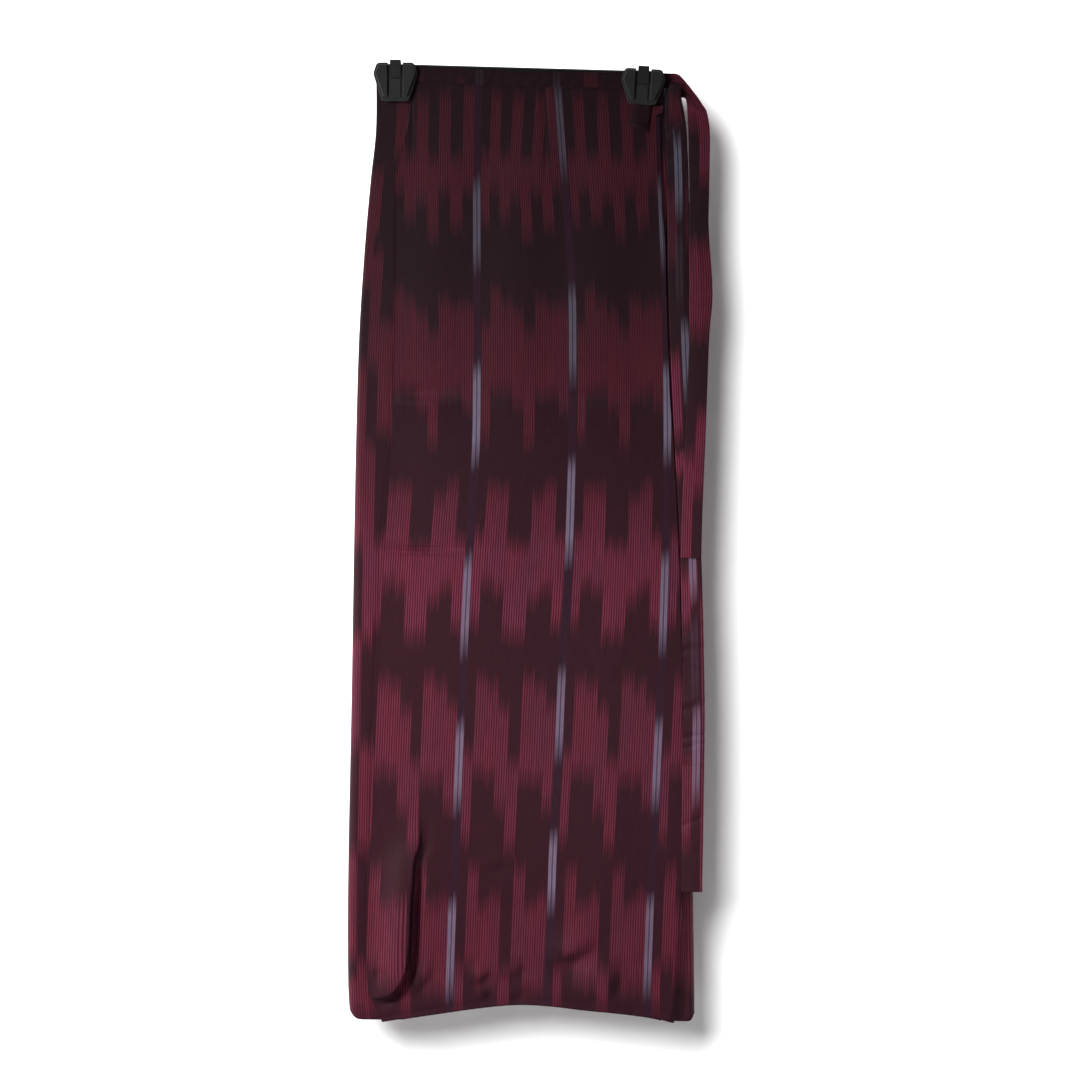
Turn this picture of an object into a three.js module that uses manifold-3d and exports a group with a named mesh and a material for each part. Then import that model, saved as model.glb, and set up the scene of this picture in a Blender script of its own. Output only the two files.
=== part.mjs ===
// A wrap skirt of ikat-woven satin, folded flat and hung by its waistband from a two-clip hanger.
// Millimetres, +Z up, +X to the right and +Y away from someone who stands before the skirt.
// The origin is the middle of the hanger bar's top edge. A "drop" is a distance below that edge.
import * as THREE from "three";
import { mergeVertices } from "three/addons/utils/BufferGeometryUtils.js";
import Module from "manifold-3d";

const wasm = await Module();
wasm.setup();

// ---------------------------------------------------------------- driving dimensions
const CLOTH = 1.2; // wall of a skirt panel
const BAND_CLOTH = 1.6; // the folded waistband
const TIE_CLOTH = 1.6; // a folded tie
const GAP = 0.3; // between pieces that are sewn together or lie on each other

const BAND_HEIGHT = 14;
// The front hem arches: it hangs lowest at its two corners.
const HEM = [
  { x: -137, drop: 907.2 },
  { x: -81, drop: 898.7 },
  { x: -29, drop: 891.6 },
  { x: 0, drop: 889.6 },
  { x: 30, drop: 891.3 },
  { x: 60, drop: 894.9 },
  { x: 98, drop: 898.7 },
  { x: 125, drop: 902.5 },
  { x: 146, drop: 907.8 },
];
const UNDER_HEM_EXTRA = 1.2; // the under panel peeps out below the overlap
const BACK_HEM_SHORT = { by: 2, within: 100, until: 160 }; // the back hides behind them, save at the folds
const TUBE_HALF = 164.5; // half of the folded tube's width at the hem
// How low the hem hangs beside each fold, and how far and how high its corner turns up.
const HEM_CORNERS = {
  left: { drop: 903.4, reach: 15, rise: 16 },
  right: { drop: 906.2, reach: 6, rise: 7 },
};

// The folded skirt's edges, one row for each height.
// leftFold and sideFold are the outsides of the tube's folds, freeEdge and frontRight the overlap's edges.
const SECTIONS = [
  { drop: 4, leftFold: -137.3, freeEdge: -101.5, frontRight: 136.5, sideFold: 140.5 },
  { drop: 60, leftFold: -137.6, freeEdge: -107.8, frontRight: 131.5, sideFold: 144.5 },
  { drop: 107, leftFold: -142.5, freeEdge: -119.2, frontRight: 132.5, sideFold: 149.5 },
  { drop: 165, leftFold: -147.7, freeEdge: -120.3, frontRight: 136.8, sideFold: 154.0 },
  { drop: 250, leftFold: -153.3, freeEdge: -120.5, frontRight: 139.4, sideFold: 157.0 },
  { drop: 345, leftFold: -156.3, freeEdge: -124.9, frontRight: 142.5, sideFold: 160.5 },
  { drop: 468, leftFold: -158.7, freeEdge: -132.9, frontRight: 147.7, sideFold: 162.2 },
  { drop: 600, leftFold: -160.8, freeEdge: -138.8, frontRight: 151.5, sideFold: 163.0 },
  { drop: 780, leftFold: -164.2, freeEdge: -145.2, frontRight: 153.0, sideFold: 164.2 },
  { drop: 872, leftFold: -164.0, freeEdge: -144.6, frontRight: 149.0, sideFold: 165.3 },
  { drop: 908, leftFold: -161.8, freeEdge: -130.5, frontRight: 145.2, sideFold: 165.6 },
];

// Where each layer's middle lies in depth: pressed together by the clips, and hanging apart at the hem.
const LAYER_DEPTH = {
  overlap: { atClips: -4.2, atHem: -12.5 },
  under: { atClips: -1.9, atHem: -5.0 },
  back: { atClips: 0.4, atHem: 9.0 },
};
const PINCHED_TO_DROP = 40;
const SPREAD_BY_DROP = 640;
const STRIP_BEHIND_FRONT = 7; // how far the side strip reaches in behind the overlap's right edge

// The front of the waistband sags between the clips: its top edge, left to right.
const BAND_TOP = [
  { x: -140, drop: -1.0 },
  { x: -100, drop: -0.3 },
  { x: -48, drop: 2.6 },
  { x: 0, drop: 4.8 },
  { x: 45, drop: 5.4 },
  { x: 100, drop: 5.9 },
  { x: 142, drop: 6.4 },
];
const BAND_BACK_LOWER = 0.6; // the back stretch of the band stays just below the front's edge
const BAND_END_SHORT = 12; // the band's inner end stops this far short of the overlap's right edge

// The fold that billows out at the overlap's lower left corner. Its lip hangs lipLower lower at the valley
// than at the free edge, and its valley leans in by valleyLean on the way down.
const BILLOW = {
  topDrop: 690,
  fullDrop: 845,
  lipDrop: 872,
  lipLower: 14,
  lipAbove: 10,
  lipBelow: 4,
  height: 8.5,
  left: -150,
  leftSoft: 10,
  shoulder: 14,
  valley: -99,
  valleyLean: 8,
  valleyWidth: 9,
};
// Long soft waves of the front. They fade in down the cloth, and out towards the ties at its right edge.
const DRAPE = {
  height: 1.6,
  width: 34,
  slant: 260,
  phase: 1.2,
  fromDrop: 90,
  fullDrop: 520,
  fadeX: 70,
  noneX: 112,
};
const EDGE_TUCK = { depth: 0.5, width: 6 }; // the overlap's right edge turns slightly in
const TIE_CROWN = 0.35; // how far a tie's middle stands proud of its edges

// How finely each cloth is faceted: columns along it, in the order of its stretches, and rows down it.
const FACETS = {
  overlap: { columns: 24, rows: 31 },
  under: { fold: 4, front: 14, rows: 20 },
  back: { strip: 3, side: 7, back: 14, fold: 4, rows: 20 },
  band: { flat: 12, fold: 6, rows: 2 },
  tie: { columns: 4, shortRows: 38, longRows: 34 },
  patch: { columns: 4, rows: 4 },
};

// Each tie, one row for each station: its two edges, and how far forward its middle lies.
const TIE_SHORT = [
  { innerX: 142.3, innerDrop: 13.5, outerX: 142.3, outerDrop: 5.9, depth: -1.6 },
  { innerX: 147.7, innerDrop: 16.0, outerX: 149.6, outerDrop: 7.2, depth: -2.2 },
  { innerX: 153.4, innerDrop: 21.5, outerX: 157.5, outerDrop: 15.0, depth: -3.0 },
  { innerX: 156.6, innerDrop: 28.0, outerX: 165.4, outerDrop: 25.2, depth: -4.2 },
  { innerX: 157.7, innerDrop: 35.5, outerX: 172.2, outerDrop: 35.4, depth: -5.4 },
  { innerX: 158.3, innerDrop: 45.0, outerX: 177.2, outerDrop: 44.8, depth: -6.4 },
  { innerX: 159.2, innerDrop: 68.0, outerX: 179.8, outerDrop: 67.0, depth: -7.4 },
  { innerX: 160.4, innerDrop: 117.0, outerX: 179.0, outerDrop: 117.0, depth: -8.6 },
  { innerX: 161.4, innerDrop: 155.0, outerX: 178.6, outerDrop: 155.0, depth: -9.4 },
  { innerX: 161.8, innerDrop: 203.0, outerX: 181.8, outerDrop: 203.0, depth: -10.6 },
  { innerX: 161.2, innerDrop: 226.0, outerX: 181.8, outerDrop: 226.0, depth: -10.9 },
  { innerX: 160.0, innerDrop: 262.0, outerX: 178.8, outerDrop: 262.0, depth: -10.9 },
  { innerX: 156.4, innerDrop: 350.0, outerX: 175.6, outerDrop: 350.0, depth: -11.6 },
  { innerX: 153.2, innerDrop: 420.0, outerX: 172.6, outerDrop: 420.0, depth: -12.6 },
  { innerX: 152.0, innerDrop: 466.5, outerX: 171.4, outerDrop: 466.5, depth: -13.2 },
];
const TIE_LONG = [
  { innerX: 141.6, innerDrop: 16.0, outerX: 151.6, outerDrop: 15.0, depth: -6.6 },
  { innerX: 138.4, innerDrop: 30.0, outerX: 152.8, outerDrop: 30.0, depth: -6.9 },
  { innerX: 136.8, innerDrop: 50.0, outerX: 156.4, outerDrop: 50.0, depth: -6.7 },
  { innerX: 138.0, innerDrop: 70.0, outerX: 158.2, outerDrop: 70.0, depth: -6.8 },
  { innerX: 139.4, innerDrop: 115.0, outerX: 159.8, outerDrop: 115.0, depth: -6.7 },
  { innerX: 140.4, innerDrop: 220.0, outerX: 161.0, outerDrop: 220.0, depth: -7.7 },
  { innerX: 145.6, innerDrop: 345.0, outerX: 166.0, outerDrop: 345.0, depth: -9.2 },
  { innerX: 151.6, innerDrop: 468.0, outerX: 171.6, outerDrop: 468.0, depth: -11.0 },
  { innerX: 153.8, innerDrop: 600.0, outerX: 174.6, outerDrop: 600.0, depth: -13.1 },
  { innerX: 153.0, innerDrop: 700.0, outerX: 173.6, outerDrop: 700.0, depth: -14.3 },
  { innerX: 152.4, innerDrop: 783.0, outerX: 172.2, outerDrop: 783.0, depth: -14.4 },
];

// The square tie end below the right clip and the fold beside it: corners as x and drop.
const TAIL_CORNERS = {
  topLeft: { x: 106.9, drop: 23.5 },
  topRight: { x: 125.4, drop: 25.0 },
  bottomLeft: { x: 103.1, drop: 56.7 },
  bottomRight: { x: 120.2, drop: 62.4 },
};
const FOLD_CORNERS = {
  topLeft: { x: 126.0, drop: 38.6 },
  topRight: { x: 135.6, drop: 36.8 },
  bottomLeft: { x: 126.6, drop: 47.2 },
  bottomRight: { x: 135.4, drop: 43.6 },
};
const TAIL = { depth: -6.15, bow: 1.2 };
const FOLD = { depth: -6.2, bow: 0.6 };
const BOW_FROM = 0.4; // a patch bows out below this share of its height, where the clip lets go of it

const BAR = { length: 262, height: 9, front: 5.2, thickness: 5, edge: 1.2, endRound: 2, tiltDeg: 1.6 };

// One clip in its own frame: z = 0 at the top of its wings, y = 0 where the skirt's does.
const CLIP = {
  topHalf: 17.6,
  shoulderHalf: 21.2,
  shoulderDrop: 10.5,
  bottomHalf: 12.9,
  corner: 3.2,
  notchHalf: 7.1,
  notchDrop: 2.2,
  notchRound: 0.8,
  plate: 3.0,
  edge: 0.5,
  // The raised wing at each side of the front jaw and the pad between them, let into the plate by root.
  wing: {
    rise: 1.9,
    topInset: 1.6,
    topDrop: 1.4,
    shoulderInset: 1.8,
    bottomInset: 1.4,
    above: 4,
    round: 1.4,
    edge: 0.9,
  },
  pad: { rise: 0.8, belowStrap: 1, above: 3.4, round: 1, edge: 0.3 },
  root: 1,
  backInset: 1,
  backFace: 1.6,
  backPlate: 3.0,
  backWidth: 30,
  shelfDrop: 10.9,
  shelfHeight: 2.4,
  shelfRound: 0.4,
  lugFront: 10.6,
  lugThickness: 2,
  lugTopDrop: 3.5,
  strapWidth: 10.4,
  strapThickness: 1.3,
  strapTop: 2.8,
  strapFrontDrop: 14.4,
  strapBackDrop: 12,
  strapRound: 2.4,
};
const CLIPS = {
  left: { x: -118.75, z: 3.8, tiltDeg: 0, jawFace: -5.3, length: 36.9 },
  right: { x: 117.1, z: -2.3, tiltDeg: 3.2, jawFace: -7.2, length: 33.9 },
};

// ---------------------------------------------------------------- finishes
const finish = (color, roughness, metalness = 0) =>
  new THREE.MeshStandardMaterial({ color, roughness, metalness });
const ikatSatin = finish(0x4a1f2b, 0.55);
const ikatSatinDark = finish(0x331a22, 0.6);
const clipPlastic = finish(0x2b2c2e, 0.42);
const strapPlastic = finish(0x3a3b3e, 0.38);
const barPlastic = finish(0x1d1d1e, 0.6);

const model = new THREE.Group();

function add(name, geometry, material, parent = model) {
  const mesh = new THREE.Mesh(geometry, material);
  mesh.name = name;
  parent.add(mesh);
  return mesh;
}

// ---------------------------------------------------------------- working with tables
const { lerp, clamp, degToRad, smoothstep } = THREE.MathUtils;

// A smooth curve through one column of a table, read by another column.
function column(table, value, by = "drop") {
  const curve = new THREE.CubicInterpolant(
    table.map((row) => row[by]),
    table.map((row) => row[value]),
    1,
  );
  const first = table[0][by];
  const last = table[table.length - 1][by];
  return (at) => curve.evaluate(clamp(at, first, last))[0];
}

const outerLeft = column(SECTIONS, "leftFold");
const outerSide = column(SECTIONS, "sideFold");
const edge = {
  leftFold: (drop) => outerLeft(drop) + CLOTH / 2,
  freeEdge: column(SECTIONS, "freeEdge"),
  frontRight: column(SECTIONS, "frontRight"),
  sideFold: (drop) => outerSide(drop) - CLOTH / 2,
};
const bandTopDrop = column(BAND_TOP, "drop", "x");
const bandBottomDrop = (x) => bandTopDrop(x) + BAND_HEIGHT;
const insideTopDrop = (x) => bandBottomDrop(x) + GAP + BAND_BACK_LOWER;

function layerDepth(layer, drop) {
  const { atClips, atHem } = LAYER_DEPTH[layer];
  return lerp(atClips, atHem, smoothstep(drop, PINCHED_TO_DROP, SPREAD_BY_DROP));
}

const frontHem = column(HEM, "drop", "x");

// The tube's hem follows the arch and turns up at each fold in a soft corner.
function tubeHem(x) {
  const corner = x < 0 ? HEM_CORNERS.left : HEM_CORNERS.right;
  const past = Math.max(0, Math.abs(x) - (TUBE_HALF - corner.reach)) / corner.reach;
  return Math.min(frontHem(x), corner.drop) - corner.rise * Math.pow(Math.min(past, 1), 3);
}

// ---------------------------------------------------------------- cloth as a wall on a surface
// surface(u, v) is the cloth's middle: u runs along the cloth and v runs down it, both 0 to 1.
const STEP = 1e-3;
function wall(columns, rows, thickness, surface) {
  const geometry = new THREE.BoxGeometry(1, 1, 1, columns, 1, rows);
  const points = geometry.getAttribute("position");
  for (let i = 0; i < points.count; i++) {
    const u = points.getX(i) + 0.5;
    const v = 0.5 - points.getZ(i);
    const along = surface(Math.min(u + STEP, 1), v).sub(surface(Math.max(u - STEP, 0), v));
    const up = surface(u, Math.max(v - STEP, 0)).sub(surface(u, Math.min(v + STEP, 1)));
    const inward = up.cross(along).normalize();
    const place = surface(u, v).addScaledVector(inward, points.getY(i) * thickness);
    points.setXYZ(i, place.x, place.y, place.z);
  }
  return geometry;
}

// Stretches joined end to end: each has a share of the columns and a function of its own 0 to 1.
function joined(stretches) {
  const total = stretches.reduce((sum, stretch) => sum + stretch.columns, 0);
  const path = (u, drop) => {
    let at = u * total;
    for (const stretch of stretches) {
      if (at <= stretch.columns) return stretch.at(at / stretch.columns, drop);
      at -= stretch.columns;
    }
    return stretches[stretches.length - 1].at(1, drop);
  };
  return { columns: total, path };
}

// A turn of the cloth round a fold, from one angle to another about the fold's own middle line.
// Where a piece ends at a seam in the middle of the fold, startSeam or endSeam leaves its gap.
function turn(fold, side, front, back, fromDeg, toDeg, columns, { startSeam = 0, endSeam = 0 } = {}) {
  return {
    columns,
    at: (t, drop) => {
      const radius = (back(drop) - front(drop)) / 2;
      const seamAngle = GAP / (radius - CLOTH / 2) / 2;
      const from = degToRad(fromDeg) + startSeam * seamAngle;
      const to = degToRad(toDeg) - endSeam * seamAngle;
      const angle = lerp(from, to, t);
      const x = fold(drop) - side * radius + radius * Math.cos(angle);
      return { x, y: (front(drop) + back(drop)) / 2 + radius * Math.sin(angle) };
    },
  };
}

const straight = (fromX, toX, depth, columns) => ({
  columns,
  at: (t, drop) => ({ x: lerp(fromX(drop), toX(drop), t), y: depth(drop) }),
});

const overlapDepth = (drop) => layerDepth("overlap", drop);
const underDepth = (drop) => layerDepth("under", drop);
const backDepth = (drop) => layerDepth("back", drop);
const backRadius = (drop) => (backDepth(drop) - underDepth(drop)) / 2;

// Heights are crowded towards the hem, where the folds are.
const CROWDING = 1.35;
const crowdToHem = (v) => 1 - Math.pow(1 - v, CROWDING);

// Runs a path from a top line to a hem line. The path's edges depend on the drop, and the drop on x,
// so the drop is found in a few passes from a first guess.
const PASSES = 3;
function hanging(path, topDrop, hemDrop) {
  return (u, v) => {
    const down = crowdToHem(v);
    let place = path(u, lerp(BAND_HEIGHT, HEM[0].drop, down));
    let drop = 0;
    for (let pass = 0; pass < PASSES; pass++) {
      drop = lerp(topDrop(place.x), hemDrop(place.x), down);
      place = path(u, drop);
    }
    return new THREE.Vector3(place.x, place.y, -drop);
  };
}

// ---------------------------------------------------------------- the skirt's panels
function billow(x, drop) {
  const valley = BILLOW.valley - BILLOW.valleyLean * smoothstep(drop, BILLOW.fullDrop, BILLOW.lipDrop);
  const lip = BILLOW.lipDrop + BILLOW.lipLower * smoothstep(-x, -BILLOW.valley, -BILLOW.left);
  const pastLip = smoothstep(drop, lip - BILLOW.lipAbove, lip + BILLOW.lipBelow);
  const grown = smoothstep(drop, BILLOW.topDrop, BILLOW.fullDrop) * (1 - pastLip);
  const risen = smoothstep(x, BILLOW.left - BILLOW.leftSoft, BILLOW.valley - BILLOW.shoulder);
  return BILLOW.height * grown * risen * (1 - smoothstep(x, valley - BILLOW.valleyWidth, valley));
}

function drape(x, drop) {
  const wave = (1 + Math.sin(x / DRAPE.width + drop / DRAPE.slant + DRAPE.phase)) / 2;
  const grown = smoothstep(drop, DRAPE.fromDrop, DRAPE.fullDrop);
  return DRAPE.height * wave * grown * (1 - smoothstep(x, DRAPE.fadeX, DRAPE.noneX));
}

function overlapPanel() {
  const path = (u, drop) => {
    const left = edge.freeEdge(drop);
    const right = edge.frontRight(drop);
    const x = lerp(left, right, u);
    const turnedIn = EDGE_TUCK.depth * smoothstep(x, right - EDGE_TUCK.width, right);
    return { x, y: overlapDepth(drop) + turnedIn - billow(x, drop) - drape(x, drop) };
  };
  const surface = hanging(path, (x) => bandBottomDrop(x) + GAP, frontHem);
  return wall(FACETS.overlap.columns, FACETS.overlap.rows, CLOTH, surface);
}

function underPanel() {
  const rightEnd = (drop) => edge.frontRight(drop) - BAND_END_SHORT;
  const pastFold = (drop) => edge.leftFold(drop) + backRadius(drop);
  const facets = FACETS.under;
  const { columns, path } = joined([
    turn(edge.leftFold, -1, underDepth, backDepth, 180, 270, facets.fold, { startSeam: 1 }),
    straight(pastFold, rightEnd, underDepth, facets.front),
  ]);
  const surface = hanging(path, insideTopDrop, (x) => tubeHem(x) + UNDER_HEM_EXTRA);
  return wall(columns, facets.rows, CLOTH, surface);
}

function backPanel() {
  const stripStart = (drop) => edge.frontRight(drop) - STRIP_BEHIND_FRONT;
  const sideStart = (drop) => edge.sideFold(drop) - backRadius(drop);
  const leftEnd = (drop) => edge.leftFold(drop) + backRadius(drop);
  const facets = FACETS.back;
  const { columns, path } = joined([
    straight(stripStart, sideStart, underDepth, facets.strip),
    turn(edge.sideFold, 1, underDepth, backDepth, -90, 90, facets.side),
    straight(sideStart, leftEnd, backDepth, facets.back),
    turn(edge.leftFold, -1, underDepth, backDepth, 90, 180, facets.fold, { endSeam: 1 }),
  ]);
  const { by, within, until } = BACK_HEM_SHORT;
  const behind = (x) => by * (1 - smoothstep(Math.abs(x), within, until));
  const surface = hanging(path, insideTopDrop, (x) => tubeHem(x) - behind(x));
  return wall(columns, facets.rows, CLOTH, surface);
}

// ---------------------------------------------------------------- the waistband
// One strip from the overlap's free edge round the right fold, along the back, round the left fold
// and back along the inside. Its path hardly changes over its height, so it is read at one drop.
function waistband() {
  const at = (line) => () => line(BAND_HEIGHT);
  const lying = (layer) => () => LAYER_DEPTH[layer].atClips;
  const left = at(edge.leftFold);
  const right = at(edge.sideFold);
  const front = lying("overlap");
  const inside = lying("under");
  const back = lying("back");
  const outerRadius = (back() - front()) / 2;
  const innerRadius = (back() - inside()) / 2;
  const backFrom = () => right() - outerRadius;
  const backTo = () => left() + innerRadius;
  const innerEnd = () => edge.frontRight(BAND_HEIGHT) - BAND_END_SHORT;
  const { flat, fold, rows } = FACETS.band;
  const { columns, path } = joined([
    straight(at(edge.freeEdge), backFrom, front, flat),
    turn(right, 1, front, back, -90, 90, fold),
    straight(backFrom, backTo, back, flat),
    turn(left, -1, inside, back, 90, 270, fold),
    straight(backTo, innerEnd, inside, flat),
  ]);
  const surface = (u, v) => {
    const { x, y } = path(u, BAND_HEIGHT);
    const lower = BAND_BACK_LOWER * smoothstep(y, front() + 1, inside());
    return new THREE.Vector3(x, y, -(bandTopDrop(x) + lower + v * BAND_HEIGHT));
  };
  return wall(columns, rows, BAND_CLOTH, surface);
}

// ---------------------------------------------------------------- ties and the tail under the clip
function tie(stations, rows) {
  const last = stations.length - 1;
  const numbered = stations.map((row, station) => ({ ...row, station }));
  const read = (name) => column(numbered, name, "station");
  const innerX = read("innerX");
  const innerDrop = read("innerDrop");
  const outerX = read("outerX");
  const outerDrop = read("outerDrop");
  const depth = read("depth");
  const surface = (u, v) => {
    const station = v * last;
    const x = lerp(innerX(station), outerX(station), u);
    const drop = lerp(innerDrop(station), outerDrop(station), u);
    const crown = TIE_CROWN * Math.sin(Math.PI * u);
    return new THREE.Vector3(x, depth(station) - crown, -drop);
  };
  return wall(FACETS.tie.columns, rows, TIE_CLOTH, surface);
}

function patch({ topLeft, topRight, bottomLeft, bottomRight }, { depth, bow }) {
  const surface = (u, v) => {
    const within = (key) =>
      lerp(lerp(topLeft[key], topRight[key], u), lerp(bottomLeft[key], bottomRight[key], u), v);
    const out = bow * Math.sin(Math.PI * u) * smoothstep(v, BOW_FROM, 1);
    return new THREE.Vector3(within("x"), depth - out, -within("drop"));
  };
  return wall(FACETS.patch.columns, FACETS.patch.rows, CLOTH, surface);
}

// ---------------------------------------------------------------- the hanger
// A closed geometry as a manifold-3d solid, and back.
function solid(geometry) {
  const bare = geometry.index ? geometry.toNonIndexed() : geometry.clone();
  bare.deleteAttribute("normal");
  bare.deleteAttribute("uv");
  const merged = mergeVertices(bare, 1e-4);
  return new wasm.Manifold(
    new wasm.Mesh({
      numProp: 3,
      vertProperties: merged.attributes.position.array,
      triVerts: new Uint32Array(merged.index.array),
    }),
  );
}

function geometryOf(manifold) {
  const { vertProperties, triVerts } = manifold.getMesh();
  const geometry = new THREE.BufferGeometry();
  geometry.setAttribute("position", new THREE.BufferAttribute(vertProperties, 3));
  geometry.setIndex(new THREE.BufferAttribute(triVerts, 1));
  return geometry;
}

// A flat outline with round corners. Each corner is {x, z} and may have a round of its own.
function roundedOutline(corners, round) {
  const shape = new THREE.Shape();
  corners.forEach((corner, i) => {
    const before = corners[(i + corners.length - 1) % corners.length];
    const after = corners[(i + 1) % corners.length];
    const here = new THREE.Vector2(corner.x, corner.z);
    const towards = (other) => {
      const way = new THREE.Vector2(other.x, other.z).sub(here);
      return here.clone().addScaledVector(way.normalize(), corner.round ?? round);
    };
    const start = towards(before);
    const end = towards(after);
    if (i === 0) shape.moveTo(start.x, start.y);
    else shape.lineTo(start.x, start.y);
    shape.quadraticCurveTo(here.x, here.y, end.x, end.y);
  });
  shape.closePath();
  return shape;
}

// A plate that stands in the XZ plane, from depth `from` forward to depth `to` (to < from).
function plate(shape, from, to, bevel) {
  const geometry = new THREE.ExtrudeGeometry(shape, {
    depth: from - to - 2 * bevel,
    bevelEnabled: bevel > 0,
    bevelThickness: bevel,
    bevelSize: bevel,
    bevelOffset: -bevel,
    bevelSegments: 1,
    curveSegments: 4,
  });
  return geometry.rotateX(Math.PI / 2).translate(0, from - bevel, 0);
}

// A profile drawn in depth and height, run across a width centred on x = 0.
function profile(shape, width) {
  const geometry = new THREE.ExtrudeGeometry(shape, { depth: width, bevelEnabled: false, curveSegments: 5 });
  return geometry.rotateX(Math.PI / 2).rotateZ(Math.PI / 2).translate(-width / 2, 0, 0);
}

function hangerBar() {
  const shape = roundedOutline(
    [
      { x: -BAR.length / 2, z: 0 },
      { x: -BAR.length / 2, z: -BAR.height },
      { x: BAR.length / 2, z: -BAR.height },
      { x: BAR.length / 2, z: 0 },
    ],
    BAR.endRound,
  );
  const geometry = plate(shape, BAR.front + BAR.thickness, BAR.front, BAR.edge);
  return geometry.rotateY(degToRad(BAR.tiltDeg));
}

const clipOutline = (length, inset) => [
  { x: -CLIP.topHalf + inset, z: -inset },
  { x: -CLIP.shoulderHalf + inset, z: -CLIP.shoulderDrop },
  { x: -CLIP.bottomHalf + inset * 0.5, z: -length + inset },
  { x: CLIP.bottomHalf - inset * 0.5, z: -length + inset },
  { x: CLIP.shoulderHalf - inset, z: -CLIP.shoulderDrop },
  { x: CLIP.topHalf - inset, z: -inset },
];

function frontJaw(face, length) {
  const { wing, pad, root } = CLIP;
  const notched = [
    ...clipOutline(length, 0),
    { x: CLIP.notchHalf, z: 0, round: CLIP.notchRound },
    { x: CLIP.notchHalf, z: -CLIP.notchDrop, round: CLIP.notchRound },
    { x: -CLIP.notchHalf, z: -CLIP.notchDrop, round: CLIP.notchRound },
    { x: -CLIP.notchHalf, z: 0, round: CLIP.notchRound },
  ];
  const front = face - CLIP.plate;
  let jaw = solid(plate(roundedOutline(notched, CLIP.corner), face, front, CLIP.edge));
  for (const side of [-1, 1]) {
    const corners = [
      { x: side * (CLIP.topHalf - wing.topInset), z: -wing.topDrop },
      { x: side * (CLIP.shoulderHalf - wing.shoulderInset), z: -CLIP.shoulderDrop },
      { x: side * (CLIP.bottomHalf - wing.bottomInset), z: wing.above - length },
      { x: side * CLIP.notchHalf, z: wing.above - length },
      { x: side * CLIP.notchHalf, z: -wing.topDrop },
    ];
    if (side > 0) corners.reverse();
    const outline = roundedOutline(corners, wing.round);
    jaw = jaw.add(solid(plate(outline, face - root, front - wing.rise, wing.edge)));
  }
  const padHalf = CLIP.strapWidth / 2;
  const padTop = -CLIP.strapFrontDrop - pad.belowStrap;
  const corners = [
    { x: -padHalf, z: padTop },
    { x: -padHalf, z: pad.above - length },
    { x: padHalf, z: pad.above - length },
    { x: padHalf, z: padTop },
  ];
  const outline = roundedOutline(corners, pad.round);
  return geometryOf(jaw.add(solid(plate(outline, face - root, front - pad.rise, pad.edge))));
}

// The back jaw's plate, with a shelf below the bar and a lug up behind it.
function backJaw(length) {
  const from = CLIP.backFace;
  const behind = from + CLIP.backPlate;
  const lugBack = CLIP.lugFront + CLIP.lugThickness;
  const shelfBottom = CLIP.shelfDrop + CLIP.shelfHeight;
  const cradle = roundedOutline(
    [
      { x: behind - CLIP.root, z: -CLIP.shelfDrop },
      { x: CLIP.lugFront, z: -CLIP.shelfDrop },
      { x: CLIP.lugFront, z: -CLIP.lugTopDrop },
      { x: lugBack, z: -CLIP.lugTopDrop },
      { x: lugBack, z: -shelfBottom },
      { x: behind - CLIP.root, z: -shelfBottom },
    ],
    CLIP.shelfRound,
  );
  const outline = roundedOutline(clipOutline(length, CLIP.backInset), CLIP.corner);
  const flat = solid(plate(outline, behind, from, CLIP.edge));
  return geometryOf(flat.add(solid(profile(cradle, CLIP.backWidth))));
}

// The spring strap: up the front, over the bar and down behind the lug.
function springStrap(face) {
  const front = face - CLIP.plate - GAP;
  const outerFront = front - CLIP.strapThickness;
  const inside = CLIP.lugFront + CLIP.lugThickness + GAP;
  const outerBack = inside + CLIP.strapThickness;
  const outer = CLIP.strapRound;
  const inner = CLIP.strapRound - CLIP.strapThickness;
  const top = CLIP.strapTop;
  const shape = new THREE.Shape();
  shape.moveTo(outerFront, -CLIP.strapFrontDrop);
  shape.lineTo(front, -CLIP.strapFrontDrop);
  shape.lineTo(front, top - outer);
  shape.absarc(front + inner, top - outer, inner, Math.PI, Math.PI / 2, true);
  shape.lineTo(inside - inner, top - CLIP.strapThickness);
  shape.absarc(inside - inner, top - outer, inner, Math.PI / 2, 0, true);
  shape.lineTo(inside, -CLIP.strapBackDrop);
  shape.lineTo(outerBack, -CLIP.strapBackDrop);
  shape.lineTo(outerBack, top - outer);
  shape.absarc(outerBack - outer, top - outer, outer, 0, Math.PI / 2, false);
  shape.lineTo(outerFront + outer, top);
  shape.absarc(outerFront + outer, top - outer, outer, Math.PI / 2, Math.PI, false);
  shape.closePath();
  return profile(shape, CLIP.strapWidth);
}

function addClip(side) {
  const { x, z, tiltDeg, jawFace, length } = CLIPS[side];
  const clip = new THREE.Group();
  clip.position.set(x, 0, z);
  clip.rotation.y = degToRad(tiltDeg);
  model.add(clip);
  add(`clip_${side}_front`, frontJaw(jawFace, length), clipPlastic, clip);
  add(`clip_${side}_back`, backJaw(length), clipPlastic, clip);
  add(`clip_${side}_spring`, springStrap(jawFace), strapPlastic, clip);
}

// ---------------------------------------------------------------- the whole
add("overlap_panel", overlapPanel(), ikatSatin);
add("under_panel", underPanel(), ikatSatin);
add("back_panel", backPanel(), ikatSatin);
add("waistband", waistband(), ikatSatinDark);
add("tie_short", tie(TIE_SHORT, FACETS.tie.shortRows), ikatSatin);
add("tie_long", tie(TIE_LONG, FACETS.tie.longRows), ikatSatin);
add("tie_tail", patch(TAIL_CORNERS, TAIL), ikatSatinDark);
add("tail_fold", patch(FOLD_CORNERS, FOLD), ikatSatin);
add("hanger_bar", hangerBar(), barPlastic);
addClip("left");
addClip("right");

export default model;
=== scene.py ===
import bisect
import itertools
import math

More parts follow.
